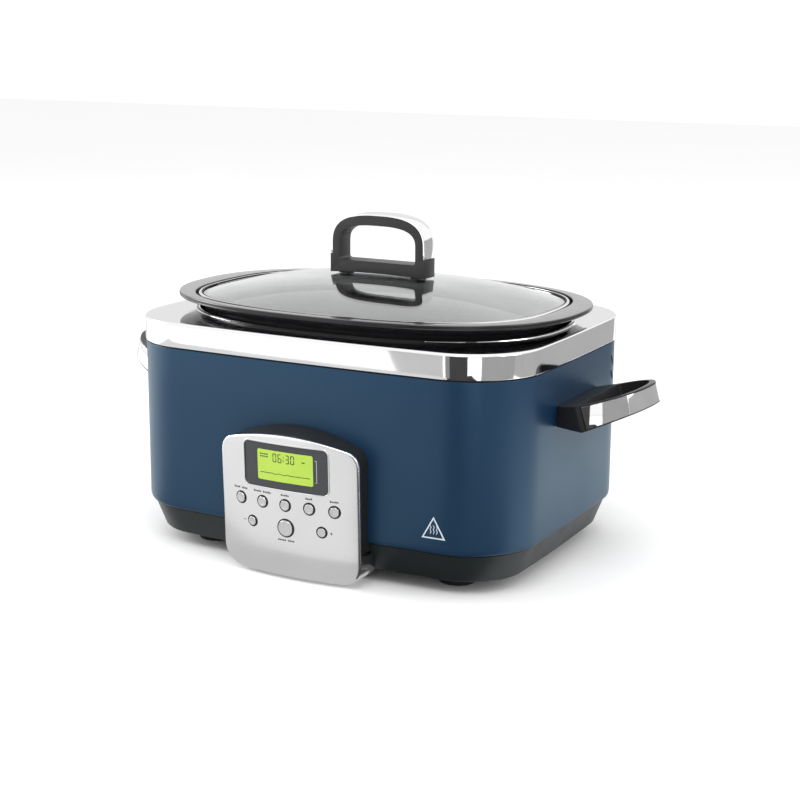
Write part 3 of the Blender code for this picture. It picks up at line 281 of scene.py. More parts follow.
def painted():
    """Blue satin paint: fine orange peel, faint colour drift and a few bright flakes."""
    n = Nodes("blue_paint_finish")
    drift = n.noise(9.0, 3.0)
    peel = n.noise(620.0, 2.0)
    flake = n.noise(2600.0, 1.0)
    base = n.mix(drift, (0.0050, 0.024, 0.062), (0.0068, 0.029, 0.071))
    sparkle = n.spread(flake, 0.0, 0.08, 0.55, 0.80)
    n.feed(Base_Color=n.mix(sparkle, base, (0.06, 0.14, 0.22)), Roughness=n.spread(drift, 0.33, 0.41),
           Normal=n.bump(peel, 0.00002, 0.6))
    n.set(Metallic=0.20, Specular_IOR_Level=0.60, Specular_Tint=(0.60, 0.90, 1.0, 1.0))
    return n.material


def coating():
    """Dark nonstick finish with painted sheen: coat and specular rise on its upward faces, so these look
    brighter and glossier.
    """
    n = Nodes("coating_finish")
    wide = n.noise(60.0, 4.0)
    fine = n.noise(2100.0, 2.0)
    split = n.add("ShaderNodeSeparateXYZ")
    n.link(n.add("ShaderNodeNewGeometry").outputs["Normal"], split.inputs["Vector"])
    up = split.outputs["Z"]
    # Painted sheen: the coat and the specular level follow how far each face points up.
    n.feed(Base_Color=n.mix(wide, (0.012, 0.012, 0.013), (0.016, 0.016, 0.018)),
           Roughness=n.spread(wide, 0.20, 0.26), Coat_Weight=n.spread(up, 0.05, 0.85, 0.3, 0.9),
           Specular_IOR_Level=n.spread(up, 0.25, 0.80, 0.3, 0.9), Normal=n.bump(fine, 0.00002))
    n.set(Coat_Roughness=0.12, Coat_IOR=1.7)
    return n.material


def glass():
    """Clear glass with faint smears and bright reflections."""
    n = Nodes("glass_finish")
    smear = n.noise(30.0, 5.0)
    n.feed(Base_Color=n.mix(smear, (0.86, 0.89, 0.90), (0.92, 0.94, 0.95)),
           Roughness=n.spread(smear, 0.0, 0.02))
    n.set(Transmission_Weight=1.0, IOR=1.6, Coat_Weight=1.0, Coat_IOR=1.75)
    return n.material


def backlit():
    """Lit display: green glow that drifts a little."""
    n = Nodes("lcd_finish")
    glow = n.noise(45.0, 2.0)
    colour = n.mix(glow, (0.30, 0.46, 0.045), (0.37, 0.52, 0.062))
    n.feed(Base_Color=colour, Emission_Color=colour, Roughness=n.spread(glow, 0.22, 0.30))
    n.set(Emission_Strength=0.16)
    return n.material


def wool():
    """Pale fibrous blanket."""
    n = Nodes("insulation_finish")
    fibre = n.noise(420.0, 6.0, (1, 1, 5))
    n.feed(Base_Color=n.mix(fibre, (0.52, 0.49, 0.42), (0.82, 0.80, 0.74)), Normal=n.bump(fibre, 0.0008))
    n.set(Roughness=0.95)
    return n.material


def finishes():
    """Plain finishes: colour, roughness, metallic, tone drift, gloss drift, patch, grain, relief, stretch."""
    table = {
        "steel": ((0.60, 0.60, 0.62), 0.30, 1.0, 0.05, 0.08, 40.0, 500.0, 0.00001, (1, 1, 12)),
        "aluminium": ((0.66, 0.67, 0.69), 0.36, 1.0, 0.06, 0.08, 25.0, 260.0, 0.00003),
        "grey_plastic": ((0.009, 0.014, 0.016), 0.46, 0.0, 0.08, 0.05, 40.0, 1500.0, 0.00003),
        "black_plastic": ((0.012, 0.012, 0.013), 0.36, 0.0, 0.10, 0.06, 50.0, 1700.0, 0.00003),
        "rubber": ((0.010, 0.010, 0.010), 0.75, 0.0, 0.15, 0.08, 80.0, 1200.0, 0.00006),
        "dark_window": ((0.040, 0.042, 0.045), 0.09, 0.0, 0.06, 0.03, 30.0, 300.0, 0.000004),
        "board": ((0.02, 0.16, 0.07), 0.45, 0.0, 0.20, 0.10, 160.0, 900.0, 0.00008),
        "fascia": ((0.95, 0.95, 0.95), 0.24, 1.0, 0.015, 0.03, 30.0, 900.0, 0.000006),
        "button_cap": ((0.74, 0.74, 0.75), 0.24, 1.0, 0.03, 0.04, 120.0, 1500.0, 0.000006),
        "ink": ((0.030, 0.030, 0.032), 0.55, 0.0, 0.10, 0.05, 300.0, 2500.0, 0.00001),
        "white_ink": ((0.50, 0.55, 0.60), 0.50, 0.0, 0.08, 0.05, 300.0, 2500.0, 0.00001),
        "lcd_ink": ((0.030, 0.045, 0.010), 0.40, 0.0, 0.10, 0.05, 300.0, 2500.0, 0.000005),
    }
    return {name: surface(f"{name}_finish", *values) for name, values in table.items()}


MATERIALS = {  # by slot, or by finish for single pieces
    "blue_paint": painted(),
    "chrome": polished("chrome_finish", (0.90, 0.90, 0.91), 0.05),
    "nonstick_coating": coating(),
    "glass": glass(),
    "lcd": backlit(),
    "insulation": wool(),
    **finishes(),
}
MATERIALS["circuit_board"] = MATERIALS["board"]


# ---------------- building tools
def register(obj, body, slot, replaces=(), finish=None):
    """Gives a piece its finish, its body and the CAD nodes it stands for."""
    obj.data.materials.clear()
    obj.data.materials.append(MATERIALS[finish or slot])
    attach(obj, body)
    if replaces:
        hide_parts(*replaces)
    return obj


def add_object(name, data):
    """Makes an object of a mesh, lamp, curve or camera and puts it in the scene."""
    obj = bpy.data.objects.new(name, data)
    bpy.context.scene.collection.objects.link(obj)
    return obj


def smooth(mesh):
    mesh.shade_smooth()
    mesh.set_sharp_from_angle(angle=math.radians(32))


def link(name, bm):
    """Turns a bmesh drawn round the body's middle into an object in the frame."""
    bmesh.ops.recalc_face_normals(bm, faces=bm.faces)
    bmesh.ops.translate(bm, vec=(0.0, Y_MID, 0.0), verts=bm.verts)
    mesh = bpy.data.meshes.new(name)
    bm.to_mesh(mesh)
    bm.free()
    smooth(mesh)
    return add_object(name, mesh)


def soften(sections, closed, steps=4):
    """Rounds the loft at each section that comes as (loop, size)."""
    count = len(sections)
    loops = []
    for i, (loop, size) in enumerate(sections):
        if not size or (not closed and i in (0, count - 1)):
            loops.append(loop)
            continue
        before, after = sections[i - 1][0], sections[(i + 1) % count][0]
        for k in range(steps + 1):
            t = k / steps
            row = []
            for p, a, c in zip(loop, before, after):
                start = p + (a - p) * min(0.45, size / max((a - p).length, 1e-9))
                stop = p + (c - p) * min(0.45, size / max((c - p).length, 1e-9))
                row.append(start * (1 - t) ** 2 + p * 2 * t * (1 - t) + stop * t * t)
            loops.append(row)
    return loops


def skin(name, sections, ring=True, steps=4):
    """Skins (loop, softening) sections: closed onto the first, or capped at both ends."""
    loops = soften(sections, ring, steps)
    bm = bmesh.new()
    rows = [[bm.verts.new(p) for p in loop] for loop in loops]
    pairs = list(zip(rows, rows[1:]))
    if ring:
        pairs.append((rows[-1], rows[0]))
    else:
        bm.faces.new(rows[0])
        bm.faces.new(rows[-1])
    for low, high in pairs:
        for i in range(len(low)):
            j = (i + 1) % len(low)
            bm.faces.new((low[i], low[j], high[j], high[i]))
    return link(name, bm)


def apply_modifiers(obj):
    bpy.context.view_layer.update()
    graph = bpy.context.evaluated_depsgraph_get()
    mesh = bpy.data.meshes.new_from_object(obj.evaluated_get(graph))
    obj.modifiers.clear()
    old = obj.data
    obj.data = mesh
    bpy.data.meshes.remove(old)
    smooth(mesh)
    return obj


def carve(obj, cutters):
    """Cuts helper pieces out of an object and removes them."""
    for cutter in cutters:
        step = obj.modifiers.new("carve", "BOOLEAN")
        step.solver = "EXACT"
        step.object = cutter
    apply_modifiers(obj)
    for cutter in cutters:
        bpy.data.objects.remove(cutter, do_unlink=True)
    return obj


def bevelled(obj, width, segments=3):
    step = obj.modifiers.new("rounded", "BEVEL")
    step.width = width
    step.segments = segments
    step.limit_method = "ANGLE"
    step.angle_limit = math.radians(40)
    step.use_clamp_overlap = True
    return apply_modifiers(obj)


def turned(name, profile, matrix, steps=48, softening=0.0003):
    """Turns (radius, height) points about a local Z axis; the ends close on the axis or on each other."""
    on_axis = profile[0][0] == 0.0
    sections = []
    for radius, height in profile:
        radius = max(radius, MERGE)
        loop = [matrix @ Vector((radius * math.cos(2 * math.pi * i / steps),
                                 radius * math.sin(2 * math.pi * i / steps), height)) for i in range(steps)]
        sections.append((loop, softening))
    return skin(name, sections, ring=not on_axis, steps=3)


def plate(name, outlines, thickness, matrix):
    """A flat plate from its outline and the outlines of its holes."""
    curve = bpy.data.curves.new(name, "CURVE")
    curve.dimensions = "2D"
    curve.fill_mode = "BOTH"
    curve.extrude = thickness / 2
    for outline in outlines:
        spline = curve.splines.new("POLY")
        spline.points.add(len(outline) - 1)
        for point, (across, along) in zip(spline.points, outline):
            point.co = (across, along, 0.0, 1.0)
        spline.use_cyclic_u = True
    helper = add_object(name, curve)
    bpy.context.view_layer.update()
    mesh = bpy.data.meshes.new_from_object(helper.evaluated_get(bpy.context.evaluated_depsgraph_get()))
    bpy.data.objects.remove(helper, do_unlink=True)
    bm = bmesh.new()
    bm.from_mesh(mesh)
    bpy.data.meshes.remove(mesh)
    bmesh.ops.remove_doubles(bm, verts=bm.verts, dist=MERGE)
    bmesh.ops.transform(bm, matrix=matrix, verts=bm.verts)
    return link(name, bm)


def bar(name, radius, low, high, steps=24):
    """A round bar between two points."""
    low, high = Vector(low), Vector(high)
    matrix = Matrix.Translation(low) @ (high - low).to_track_quat("Z", "Y").to_matrix().to_4x4()
    length = (high - low).length
    return turned(name, [(0.0, 0.0), (radius, 0.0), (radius, length), (0.0, length)], matrix, steps, 0.0)


# ---------------- outlines
def arc(centre, radius, start, stop, steps):
    points = []
    for i in range(steps + 1):
        angle = math.radians(start + (stop - start) * i / steps)
        points.append((centre[0] + radius * math.cos(angle), centre[1] + radius * math.sin(angle)))
    return points


def joined(arcs, counts):
    """Four arcs in one outline, with evenly shared points on the straight runs between them."""
    points = []
    for i, row in enumerate(arcs):
        steps = counts[i % 2]
        start, stop = Vector(row[-1]), Vector(arcs[(i + 1) % 4][0])
        points += row + [tuple(start.lerp(stop, k / steps)) for k in range(1, steps)]
    return points


def body_plan(inset, z):
    """The body's outline at a height: a rounded rectangle whose sides bulge a little."""
    half_x, half_y, radius = HALF_LENGTH - inset, HALF_DEPTH - inset, CORNER_RADIUS - inset
    corners = ((1, 1, 0), (-1, 1, 90), (-1, -1, 180), (1, -1, 270))
    arcs = [arc((sx * (half_x - radius), sy * (half_y - radius)), radius, turn, turn + 90, CORNER_STEPS)
            for sx, sy, turn in corners]
    flat = joined(arcs, (FRONT_STEPS, END_STEPS))
    return [Vector((x + END_BULGE * (1 - (y / half_y) ** 2) * x / half_x,
                    y + FRONT_BULGE * (1 - (x / half_x) ** 2) * y / half_y, z)) for x, y in flat]


DIRECTIONS = [math.atan2(p.y, p.x) for p in body_plan(0.0, 0.0)]


def oval(half, offset, z, power=OVAL_POWER, aligned=False):
    """A level superellipse; aligned to the body's outline where the two are skinned together."""
    half_x, half_y = half[0] + offset, half[1] + offset
    if aligned:
        angles = DIRECTIONS
    else:
        turns = [2 * math.pi * i / OVAL_STEPS for i in range(OVAL_STEPS)]
        angles = [math.atan2(half_y * math.sin(turn), half_x * math.cos(turn)) for turn in turns]
    loop = []
    for angle in angles:
        reach = abs(math.cos(angle) / half_x) ** power + abs(math.sin(angle) / half_y) ** power
        radius = reach ** (-1 / power)
        loop.append(Vector((radius * math.cos(angle), radius * math.sin(angle), z)))
    return loop


def half_oval(reach, half_span, steps=72):
    points = []
    for i in range(steps + 1):
        turn = math.pi * (i / steps - 0.5)
        across = reach * abs(math.cos(turn)) ** (2 / HANDLE_POWER)
        along = half_span * math.copysign(abs(math.sin(turn)) ** (2 / HANDLE_POWER), turn)
        points.append((across, along))
    return points


def arch(half_width, low, shoulder, top, steps=48):
    points = [(half_width, low)]
    for i in range(steps + 1):
        turn = math.pi * i / steps
        across = half_width * math.copysign(abs(math.cos(turn)) ** (2 / KNOB_POWER), math.cos(turn))
        points.append((across, shoulder + (top - shoulder) * abs(math.sin(turn)) ** (2 / KNOB_POWER)))
    points.append((-half_width, low))
    return points


def panel_outline(half_width, low, high, drop, top_corner, foot_corner):
    """The panel seen from the front, with evenly shared points on every stretch."""
    side_top = high - drop - top_corner
    right = arc((half_width - foot_corner, low + foot_corner), foot_corner, 270, 360, 14)
    right += [(half_width, low + foot_corner + (side_top - low - foot_corner) * i / 20) for i in range(1, 20)]
    right += arc((half_width - top_corner, side_top), top_corner, 0, 80, 14)
    inner, edge = right[-1]
    shares = [1 - 2 * i / 24 for i in range(1, 24)]
    crown = [(inner * share, edge + (high - edge) * (1 - share ** 2)) for share in shares]
    left = [(-x, z) for x, z in reversed(right)]
    sill = [(-right[0][0] + 2 * right[0][0] * i / 20, low) for i in range(1, 20)]
    return right + crown + left + sill


def face_y(x, z, depth=0.0):
    """Y of the fascia's front above the crease, or of a surface a given depth behind it."""
    centre = PANEL_FRONT + PANEL_RADIUS
    lean = (PANEL_TOP + CREASE) / 2 - z
    return centre - math.sqrt((PANEL_RADIUS - depth) ** 2 - x * x) + lean * math.tan(PANEL_LEAN)


def front_y(x, z):
    """The same, with the toe that curls back below the crease."""
    if z >= CREASE:
        return face_y(x, z)
    fall = min(1.0, (CREASE - z) / (CREASE - TOE_BOTTOM))
    return face_y(x, CREASE) + TOE_CURL * (1 - math.sqrt(1 - fall * fall))


def body_front_y(x):
    """Y of the shell's front at a distance from its middle."""
    return -HALF_DEPTH - FRONT_BULGE * (1 - (x / HALF_LENGTH) ** 2)


def face_normal(x):
    turn = math.asin(x / PANEL_RADIUS)
    return Vector((math.sin(turn), -math.cos(turn), -math.sin(PANEL_LEAN))).normalized()


# ---------------- body
def body_skin(name, profile, ring=True):
    """Skins the body's outline through (inset, height[, softening]) rows."""
    return skin(name, [(body_plan(row[0], row[1]), row[2] if len(row) > 2 else 0.0) for row in profile], ring)


def envelope():
    """The outside of the body with a small clearance."""
    return body_skin("envelope", (
        (BASE_FOOT_INSET - GAP, Z_BASE - GAP), (BASE_TOP_INSET - 2 * GAP, Z_SHELL - 0.0005),
        (0.0026, Z_SHELL - GAP), (0.0005, Z_SHELL + 0.0010), (-GAP, Z_SHELL + 0.0040),
        (-GAP, Z_DECK)), ring=False)


def build_shell():
    line = Z_BAND - 0.0012  # the dark line below the chrome band: painted shadow, drawn by a black strip in the gap
    shell = body_skin("shell", (
        (0.0030, Z_SHELL + 0.0002, 0.0003), (0.0007, Z_SHELL + 0.0016, 0.0012), (0.0, Z_SHELL + 0.0052, 0.002),
        (0.0, Z_SHELL + 0.0300), (0.0, Z_SHELL + 0.0700), (0.0, Z_SHELL + 0.1050),
        (0.0, line, 0.0006), (0.0018, line, 0.0003), (0.0018, Z_BAND + 0.0075),
        (0.0028, Z_BAND + 0.0075), (0.0028, line - 0.001), (0.0010, line - 0.002),
        (0.0010, Z_SHELL + 0.0052), (0.0036, Z_SHELL + 0.0016)))
    carve(shell, vent_slots())
    register(shell, "cooker", "blue_paint", ["outer_shell"])
    # Painted shadow: a black strip in the rubber finish fills the gap below the band, where there is only
    # shade.
    seal = body_skin("painted_shadow_strip", ((0.0011, line + 0.0001), (0.0011, Z_BAND - 0.0001),
                                     (0.0017, Z_BAND - 0.0001), (0.0017, line + 0.0001)))
    register(seal, "cooker", "rubber")


def vent_slots():
    """Slanted slots with round ends, round both rear corners."""
    slots = []
    radius = CORNER_RADIUS - 0.0005
    for side in (1, -1):
        for column in range(4):
            turn = math.radians(6 + 21 * column)
            centre = Vector((side * (HALF_LENGTH - CORNER_RADIUS + radius * math.cos(turn)),
                             HALF_DEPTH - CORNER_RADIUS + radius * math.sin(turn), 0.0))
            outward = turn if side > 0 else math.pi - turn
            for row in range(2):
                centre.z = Z_BAND - 0.0165 - 0.0125 * row
                matrix = Matrix.Translation(centre) @ Matrix.Rotation(outward - math.pi / 2, 4, "Z")
                matrix = matrix @ Matrix.Rotation(math.radians(35) * side, 4, "Y") @ FRONT_VIEW
                outline = arc((0, 0.0034), 0.0016, 0, 180, 8) + arc((0, -0.0034), 0.0016, 180, 360, 8)
                slots.append(plate("slot", [outline], 0.012, matrix))
    return slots


def build_deck():
    """Chrome band and top in one skin, with the rim round the opening."""
    def band(inset_by, z, size=0.0):
        return body_plan(inset_by, z), size

    def ring(offset, z, size=0.0, lift=0.0):
        """A loop round the opening, raised most at its two ends."""
        loop = oval(OPENING, offset, z, aligned=True)
        for point in loop:
            share = min(1.0, abs(point.x) / OPENING[0])
            point.z += lift * (BEAD_LOW_SHARE + (1 - BEAD_LOW_SHARE) * share ** 3)
        return loop, size
    sections = [band(-BAND_PROUD, Z_BAND, 0.0004), band(-BAND_PROUD, Z_DECK - 0.0100),
                band(-BAND_PROUD, Z_DECK, 0.0026), band(0.0040, Z_DECK),
                ring(0.0080, Z_DECK), ring(BEAD_WIDTH, Z_DECK, 0.0008)]
    for i in range(1, 12):
        turn = math.pi * i / 12
        sections.append(ring(BEAD_WIDTH / 2 * (1 + math.cos(turn)), Z_DECK, 0.0,
                             BEAD_HEIGHT * math.sin(turn) ** 0.8))
    sections += [ring(0.0, Z_DECK - SKIRT_DEPTH, 0.0002), ring(SHEET, Z_DECK - SKIRT_DEPTH, 0.0002),
                 ring(SHEET, Z_DECK - SHEET), band(SHEET, Z_DECK - SHEET), band(0.0002, Z_DECK - 0.0026),
                 band(0.0002, Z_BAND, 0.0002)]
    register(skin("deck", sections), "cooker", "chrome", ["top_deck"])


def build_base():
    base = body_skin("base", (
        (BASE_FOOT_INSET + 0.0025, Z_BASE + 0.0025), (0.0075, Z_SHELL - 0.001),
        (0.0075, Z_SHELL + 0.0068), (0.0052, Z_SHELL + 0.0068), (0.0052, Z_SHELL - GAP),
        (BASE_TOP_INSET, Z_SHELL - GAP, 0.0005), (BASE_FOOT_INSET - 0.0002, Z_BASE, 0.0022),
        (BASE_FOOT_INSET + 0.0060, Z_BASE), (BASE_FOOT_INSET + 0.0068, Z_BASE + 0.0008, 0.0003),
        (BASE_FOOT_INSET + 0.0085, Z_BASE + 0.0008, 0.0003), (BASE_FOOT_INSET + 0.0093, Z_BASE)), ring=False)
    register(base, "cooker", "grey_plastic", ["base_housing"])


def build_feet():
    for name in ("front_left", "front_right", "rear_left", "rear_right"):
        low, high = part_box(f"foot_{name}")
        x, y = (low[0] + high[0]) / 2, (low[1] + high[1]) / 2 - Y_MID
        radius, top = (high[0] - low[0]) / 2, float(high[2])
        foot = turned(f"foot_pad_{name}", [
            (0.0026, top), (radius - 0.0004, top), (radius, 0.0060), (radius - 0.0006, 0.0050),
            (radius, 0.0040), (radius - 0.0010, 0.0), (0.0108, 0.0), (0.0102, 0.0006), (0.0094, 0.0006),
            (0.0088, 0.0), (0.0056, 0.0),
            (0.0056, 0.0052), (0.0026, 0.0052)], Matrix.Translation((x, y, 0.0)), 64, 0.0004)
        register(foot, "cooker", "rubber", [f"foot_{name}"])


def build_well():
    """Pressed well, and the heating plate with its grooves."""
    t = WELL_SHEET
    top = Z_DECK - SHEET - GAP
    high = Z_POT - GAP
    floor = Z_POT - GAP - PLATE_THICK - GAP

    def ring(half, offset, z, size=0.0, power=OVAL_POWER):
        return oval(half, offset, z, power, aligned=True), size

    def disc(radius, z, size=0.0):
        return ring((radius, radius), 0.0, z, size, 2.0)
    sections = [disc(0.012, floor - t), disc(0.012, floor)]
    sections += [ring(WELL, *row) for row in (
        (-t - 0.018, floor, 0.004), (-t - 0.009, floor + 0.0085, 0.006), (-t, Z_DECK - 0.012, 0.001),
        (-t, top, 0.0004), (0.0042, top, 0.0003), (0.0042, top - t), (0.0, top - t), (0.0, Z_DECK - 0.012),
        (-0.009, floor + 0.0080, 0.006), (-0.018, floor - t, 0.004))]
    register(skin("well", sections), "cooker", "aluminium", ["inner_well"])
    foot = (POT[0] - 0.0235, POT[1] - 0.0225)
    sections = [disc(0.011, high - PLATE_THICK), disc(0.011, high, 0.0004)]
    for share in (0.30, 0.45, 0.60, 0.75, 0.88):
        half = (foot[0] * share, foot[1] * share)
        sections += [ring(half, offset, z) for offset, z in (
            (-0.0010, high), (-0.0005, high - 0.0004), (0.0005, high - 0.0004), (0.0010, high))]
    sections += [ring(foot, 0.0, high, 0.0012), ring(foot, 0.0, high - PLATE_THICK)]
    register(skin("hot_plate", sections), "cooker", "aluminium", ["heating_plate"])


# ---------------- pot and lid
def build_pot():
    def wall(offset, z, size=0.0):
        return oval(POT, offset, z), size

    def flange(offset, z, size=0.0):
        return oval(FLANGE, offset, z), size

    def seat(offset, z, size=0.0):
        return oval(LID, offset, z, LID_POWER), size
    t, draft = POT_WALL, POT_DRAFT
    floor = Z_POT + t
    sections = [
        wall(-t - draft - 0.0600, floor), wall(-t - draft - 0.0300, floor), wall(-t - draft, floor, 0.0160),
        wall(-t - draft * 0.5, (floor + Z_SEAT) / 2), wall(-t, Z_SEAT - 0.0030, 0.0010),
        wall(-t + 0.0018, Z_SEAT, 0.0010),
        seat(0.0014, Z_SEAT, 0.0006), seat(0.0024, Z_FLANGE, 0.0008), flange(-0.0100, Z_FLANGE),
        flange(0.0, Z_FLANGE, 0.0014), flange(0.0, Z_FLANGE - FLANGE_EDGE, 0.0012),
        flange(-0.0080, Z_FLANGE - FLANGE_EDGE - 0.0028, 0.0010),
        wall(0.0028, Z_DECK + BEAD_HEIGHT + 0.0020, 0.0020), wall(0.0, Z_DECK - 0.0040, 0.0010),
        wall(-draft * 0.5, (Z_POT + Z_DECK) / 2), wall(-draft, Z_POT, 0.0170),
        wall(-draft - 0.0260, Z_POT), wall(-draft - 0.0600, Z_POT)]
    register(skin("cooking_pot", sections, ring=False, steps=6), "pot", "nonstick_coating", ["pot"])


def build_rim():
    def rim(inset_by, height, size=0.0):
        return oval(LID, -inset_by, Z_RIM + height, LID_POWER), size
    top, wide = RIM_HEIGHT, RIM_WIDTH
    sections = [rim(0.0, 0.0, 0.0009), rim(0.0, top - 0.0003, 0.0012), rim(wide, top, 0.0003),
                rim(wide, top - 0.0007), rim(0.0010, top - 0.0008), rim(0.0010, 0.0008), rim(0.0034, 0.0008),
                rim(0.0034, 0.0)]
    register(skin("rim", sections), "lid", "chrome", ["lid_rim"])
    seal = skin("rim_seal", [rim(0.0024, top - 0.0009), rim(0.0024, top - 0.0002),
                             rim(0.0038, top - 0.0004), rim(0.0038, top - 0.0009)])
    register(seal, "lid", "rubber")


def dome(share):
    """Rise of the glass above its edge at a share of the way out."""
    return DOME_RISE * (DOME_START ** DOME_POWER - share ** DOME_POWER)


def build_glass():
    def loop(share, z):
        return oval((GLASS[0] * share, GLASS[1] * share), 0.0, z, LID_POWER), 0.0
    shares = [DOME_START] + [0.96 - 0.04 * i for i in range(24)]
    top = Z_GLASS_EDGE + GLASS_THICK
    under = [loop(share, Z_GLASS_EDGE + dome(share)) for share in shares]
    over = [loop(share, top + dome(share)) for share in shares]
    sheet = skin("glass_dome", under[::-1] + [loop(1.0, Z_GLASS_EDGE), loop(1.0, top)] + over, ring=False)
    carve(sheet, [bar("hole", 0.0028, (x, 0, Z_GLASS_EDGE), (x, 0, Z_APEX + 0.01))
                  for x in (-KNOB_BOSS_X, KNOB_BOSS_X)])
    register(sheet, "lid", "glass", ["lid_glass"])


def build_knob():
    low = Z_KNOB
    bar_top = low + KNOB_BAR_HEIGHT
    shoulder = low + KNOB_SHOULDER - 0.009
    outer = arch(KNOB_HALF_WIDTH - KNOB_CAP - GAP, bar_top, shoulder, low + KNOB_HEIGHT - KNOB_CAP - GAP)
    wide = KNOB_HALF_WIDTH + 0.0004
    under = [wide * (i / 16 - 1) for i in range(33)]
    foot = [(x, low + dome(abs(x) / GLASS[0]) - dome(0.0)) for x in under]
    foot = [(-wide, bar_top)] + foot + [(wide, bar_top)]
    sill = low + KNOB_OPENING_LOW
    bend = 0.0022
    opening = arch(KNOB_OPENING_HALF, sill + bend, low + KNOB_SHOULDER - 0.007, low + KNOB_OPENING_TOP)
    opening += arc((-KNOB_OPENING_HALF + bend, sill + bend), bend, 190, 270, 6)
    opening += arc((KNOB_OPENING_HALF - bend, sill + bend), bend, 270, 350, 6)
    core = bevelled(plate("knob_grip", [outer + foot, opening], KNOB_DEPTH, FRONT_VIEW), 0.0011)
    register(core, "lid", "black_plastic", ["knob_core"])
    on_glass = Z_GLASS_EDGE + GLASS_THICK + dome(KNOB_BOSS_X / GLASS[0]) + GAP
    for side, x in (("left", -KNOB_BOSS_X), ("right", KNOB_BOSS_X)):
        top = on_glass + 0.0006
        profile = [(0.0023, on_glass), (0.0066, on_glass), (0.0062, top), (0.0023, top)]
        boss = turned(f"knob_foot_{side}", profile, Matrix.Translation((x, 0, 0)), 40, 0.0001)
        register(boss, "lid", "black_plastic")
    cap_out = arch(KNOB_HALF_WIDTH, bar_top + GAP, shoulder, low + KNOB_HEIGHT)
    cap_in = arch(KNOB_HALF_WIDTH - KNOB_CAP, bar_top + GAP, shoulder, low + KNOB_HEIGHT - KNOB_CAP)
    cap = bevelled(plate("knob_cover", [cap_out + cap_in[::-1]], KNOB_DEPTH - 0.0008, FRONT_VIEW), 0.0005)
    register(cap, "lid", "chrome", ["knob_cap"])


# ---------------- side handles
def bend_handle(point):
    """Takes a point of the flat handle to its place: a level, narrowing root and a tilted loop."""
    x, y, z = point
    inner = max(0.0, 1 - x / HANDLE_BEND)
    outer = max(0.0, (x - HANDLE_BEND) / (HANDLE_REACH - HANDLE_BEND))
    if z < 0:
        z *= 1 - HANDLE_TAPER * outer
    else:
        z *= 1 - ROOT_SINK * inner
    y *= 1 - ROOT_NARROWING * inner
    lean = 1 - inner
    out = x * math.cos(HANDLE_TILT) - z * math.sin(HANDLE_TILT) * lean
    rise = max(x, HANDLE_BEND) * math.sin(HANDLE_TILT) + z * math.cos(HANDLE_TILT)
    return Vector((BODY_END + out, y, Z_HANDLE + rise))


def handle_piece(name, outlines, height, side, rounding=0.0):
    """A flat loop with rounded edges, bent to the handle's line."""
    obj = plate(name, outlines, height, Matrix.Translation((0, -Y_MID, 0)))
    if rounding:
        bevelled(obj, rounding, 4)
    bm = bmesh.new()
    bm.from_mesh(obj.data)
    for share in (0.0, 0.2, 0.4, 0.6, 0.8, 1.0):
        bmesh.ops.bisect_plane(bm, geom=bm.verts[:] + bm.edges[:] + bm.faces[:], dist=1e-6,
                               plane_co=(HANDLE_BEND * share, 0, 0), plane_no=(1, 0, 0))
    for vert in bm.verts:
        vert.co = bend_handle(vert.co)
    bmesh.ops.transform(bm, matrix=Matrix.Rotation(0.0 if side > 0 else math.pi, 4, "Z"), verts=bm.verts)
    bpy.data.objects.remove(obj, do_unlink=True)
    return link(name, bm)


def trim_strip(outer, inner, start):
    """The strip between two half ovals, offset from the handle's edge, beyond a distance from the body."""
    def part(offset):
        return [p for p in half_oval(HANDLE_REACH + offset, HANDLE_HALF_SPAN + offset) if p[0] > start]
    return part(outer) + part(inner)[::-1]


def build_handles():
    lip = 0.0002
    for side, name in ((1, "right"), (-1, "left")):
        outer = half_oval(HANDLE_REACH - lip, HANDLE_HALF_SPAN - lip)
        root = [(-0.008, HANDLE_HALF_SPAN - lip), (-0.008, -HANDLE_HALF_SPAN + lip)]
        gap = half_oval(HANDLE_REACH - HANDLE_BAND - HANDLE_BAR, HANDLE_HALF_SPAN - HANDLE_BAND)
        opening = [(x + HANDLE_BAR, y) for x, y in gap]
        grip = handle_piece(f"{name}_grip", [outer + root, opening], HANDLE_HEIGHT, side, 0.0012)
        groove = trim_strip(0.004, -TRIM_THICK - GAP, TRIM_START - GAP)
        carve(grip, [handle_piece("groove", [groove], TRIM_HEIGHT + 2 * GAP, side), envelope()])
        register(grip, "cooker", "black_plastic", [f"{name}_handle"])
        band = trim_strip(0.0, -TRIM_THICK, TRIM_START)
        trim = handle_piece(f"{name}_trim", [band], TRIM_HEIGHT, side, 0.0005)
        register(trim, "cooker", "chrome", [f"{name}_handle_trim"])


# ---------------- control panel
def on_face(points, depth):
    """Lays front-view points on the curved panel, a depth behind its face."""
    return [Vector((x, front_y(x, z) + depth, z)) for x, z in points]


def inset(points, distance):
    """Moves a closed outline inwards, away from its edge."""
    count = len(points)
    moved = []
    for i in range(count):
        before, after = Vector(points[i - 1]), Vector(points[(i + 1) % count])
        along = after - before
        if along.length < 1e-9:
            moved.append(points[i])
            continue
        along.normalize()
        moved.append((points[i][0] - along.y * distance, points[i][1] + along.x * distance))
    return moved


def shrink(points, share):
    cx = sum(p[0] for p in points) / len(points)
    cz = sum(p[1] for p in points) / len(points)
    return [(cx + (x - cx) * share, cz + (z - cz) * share) for x, z in points]


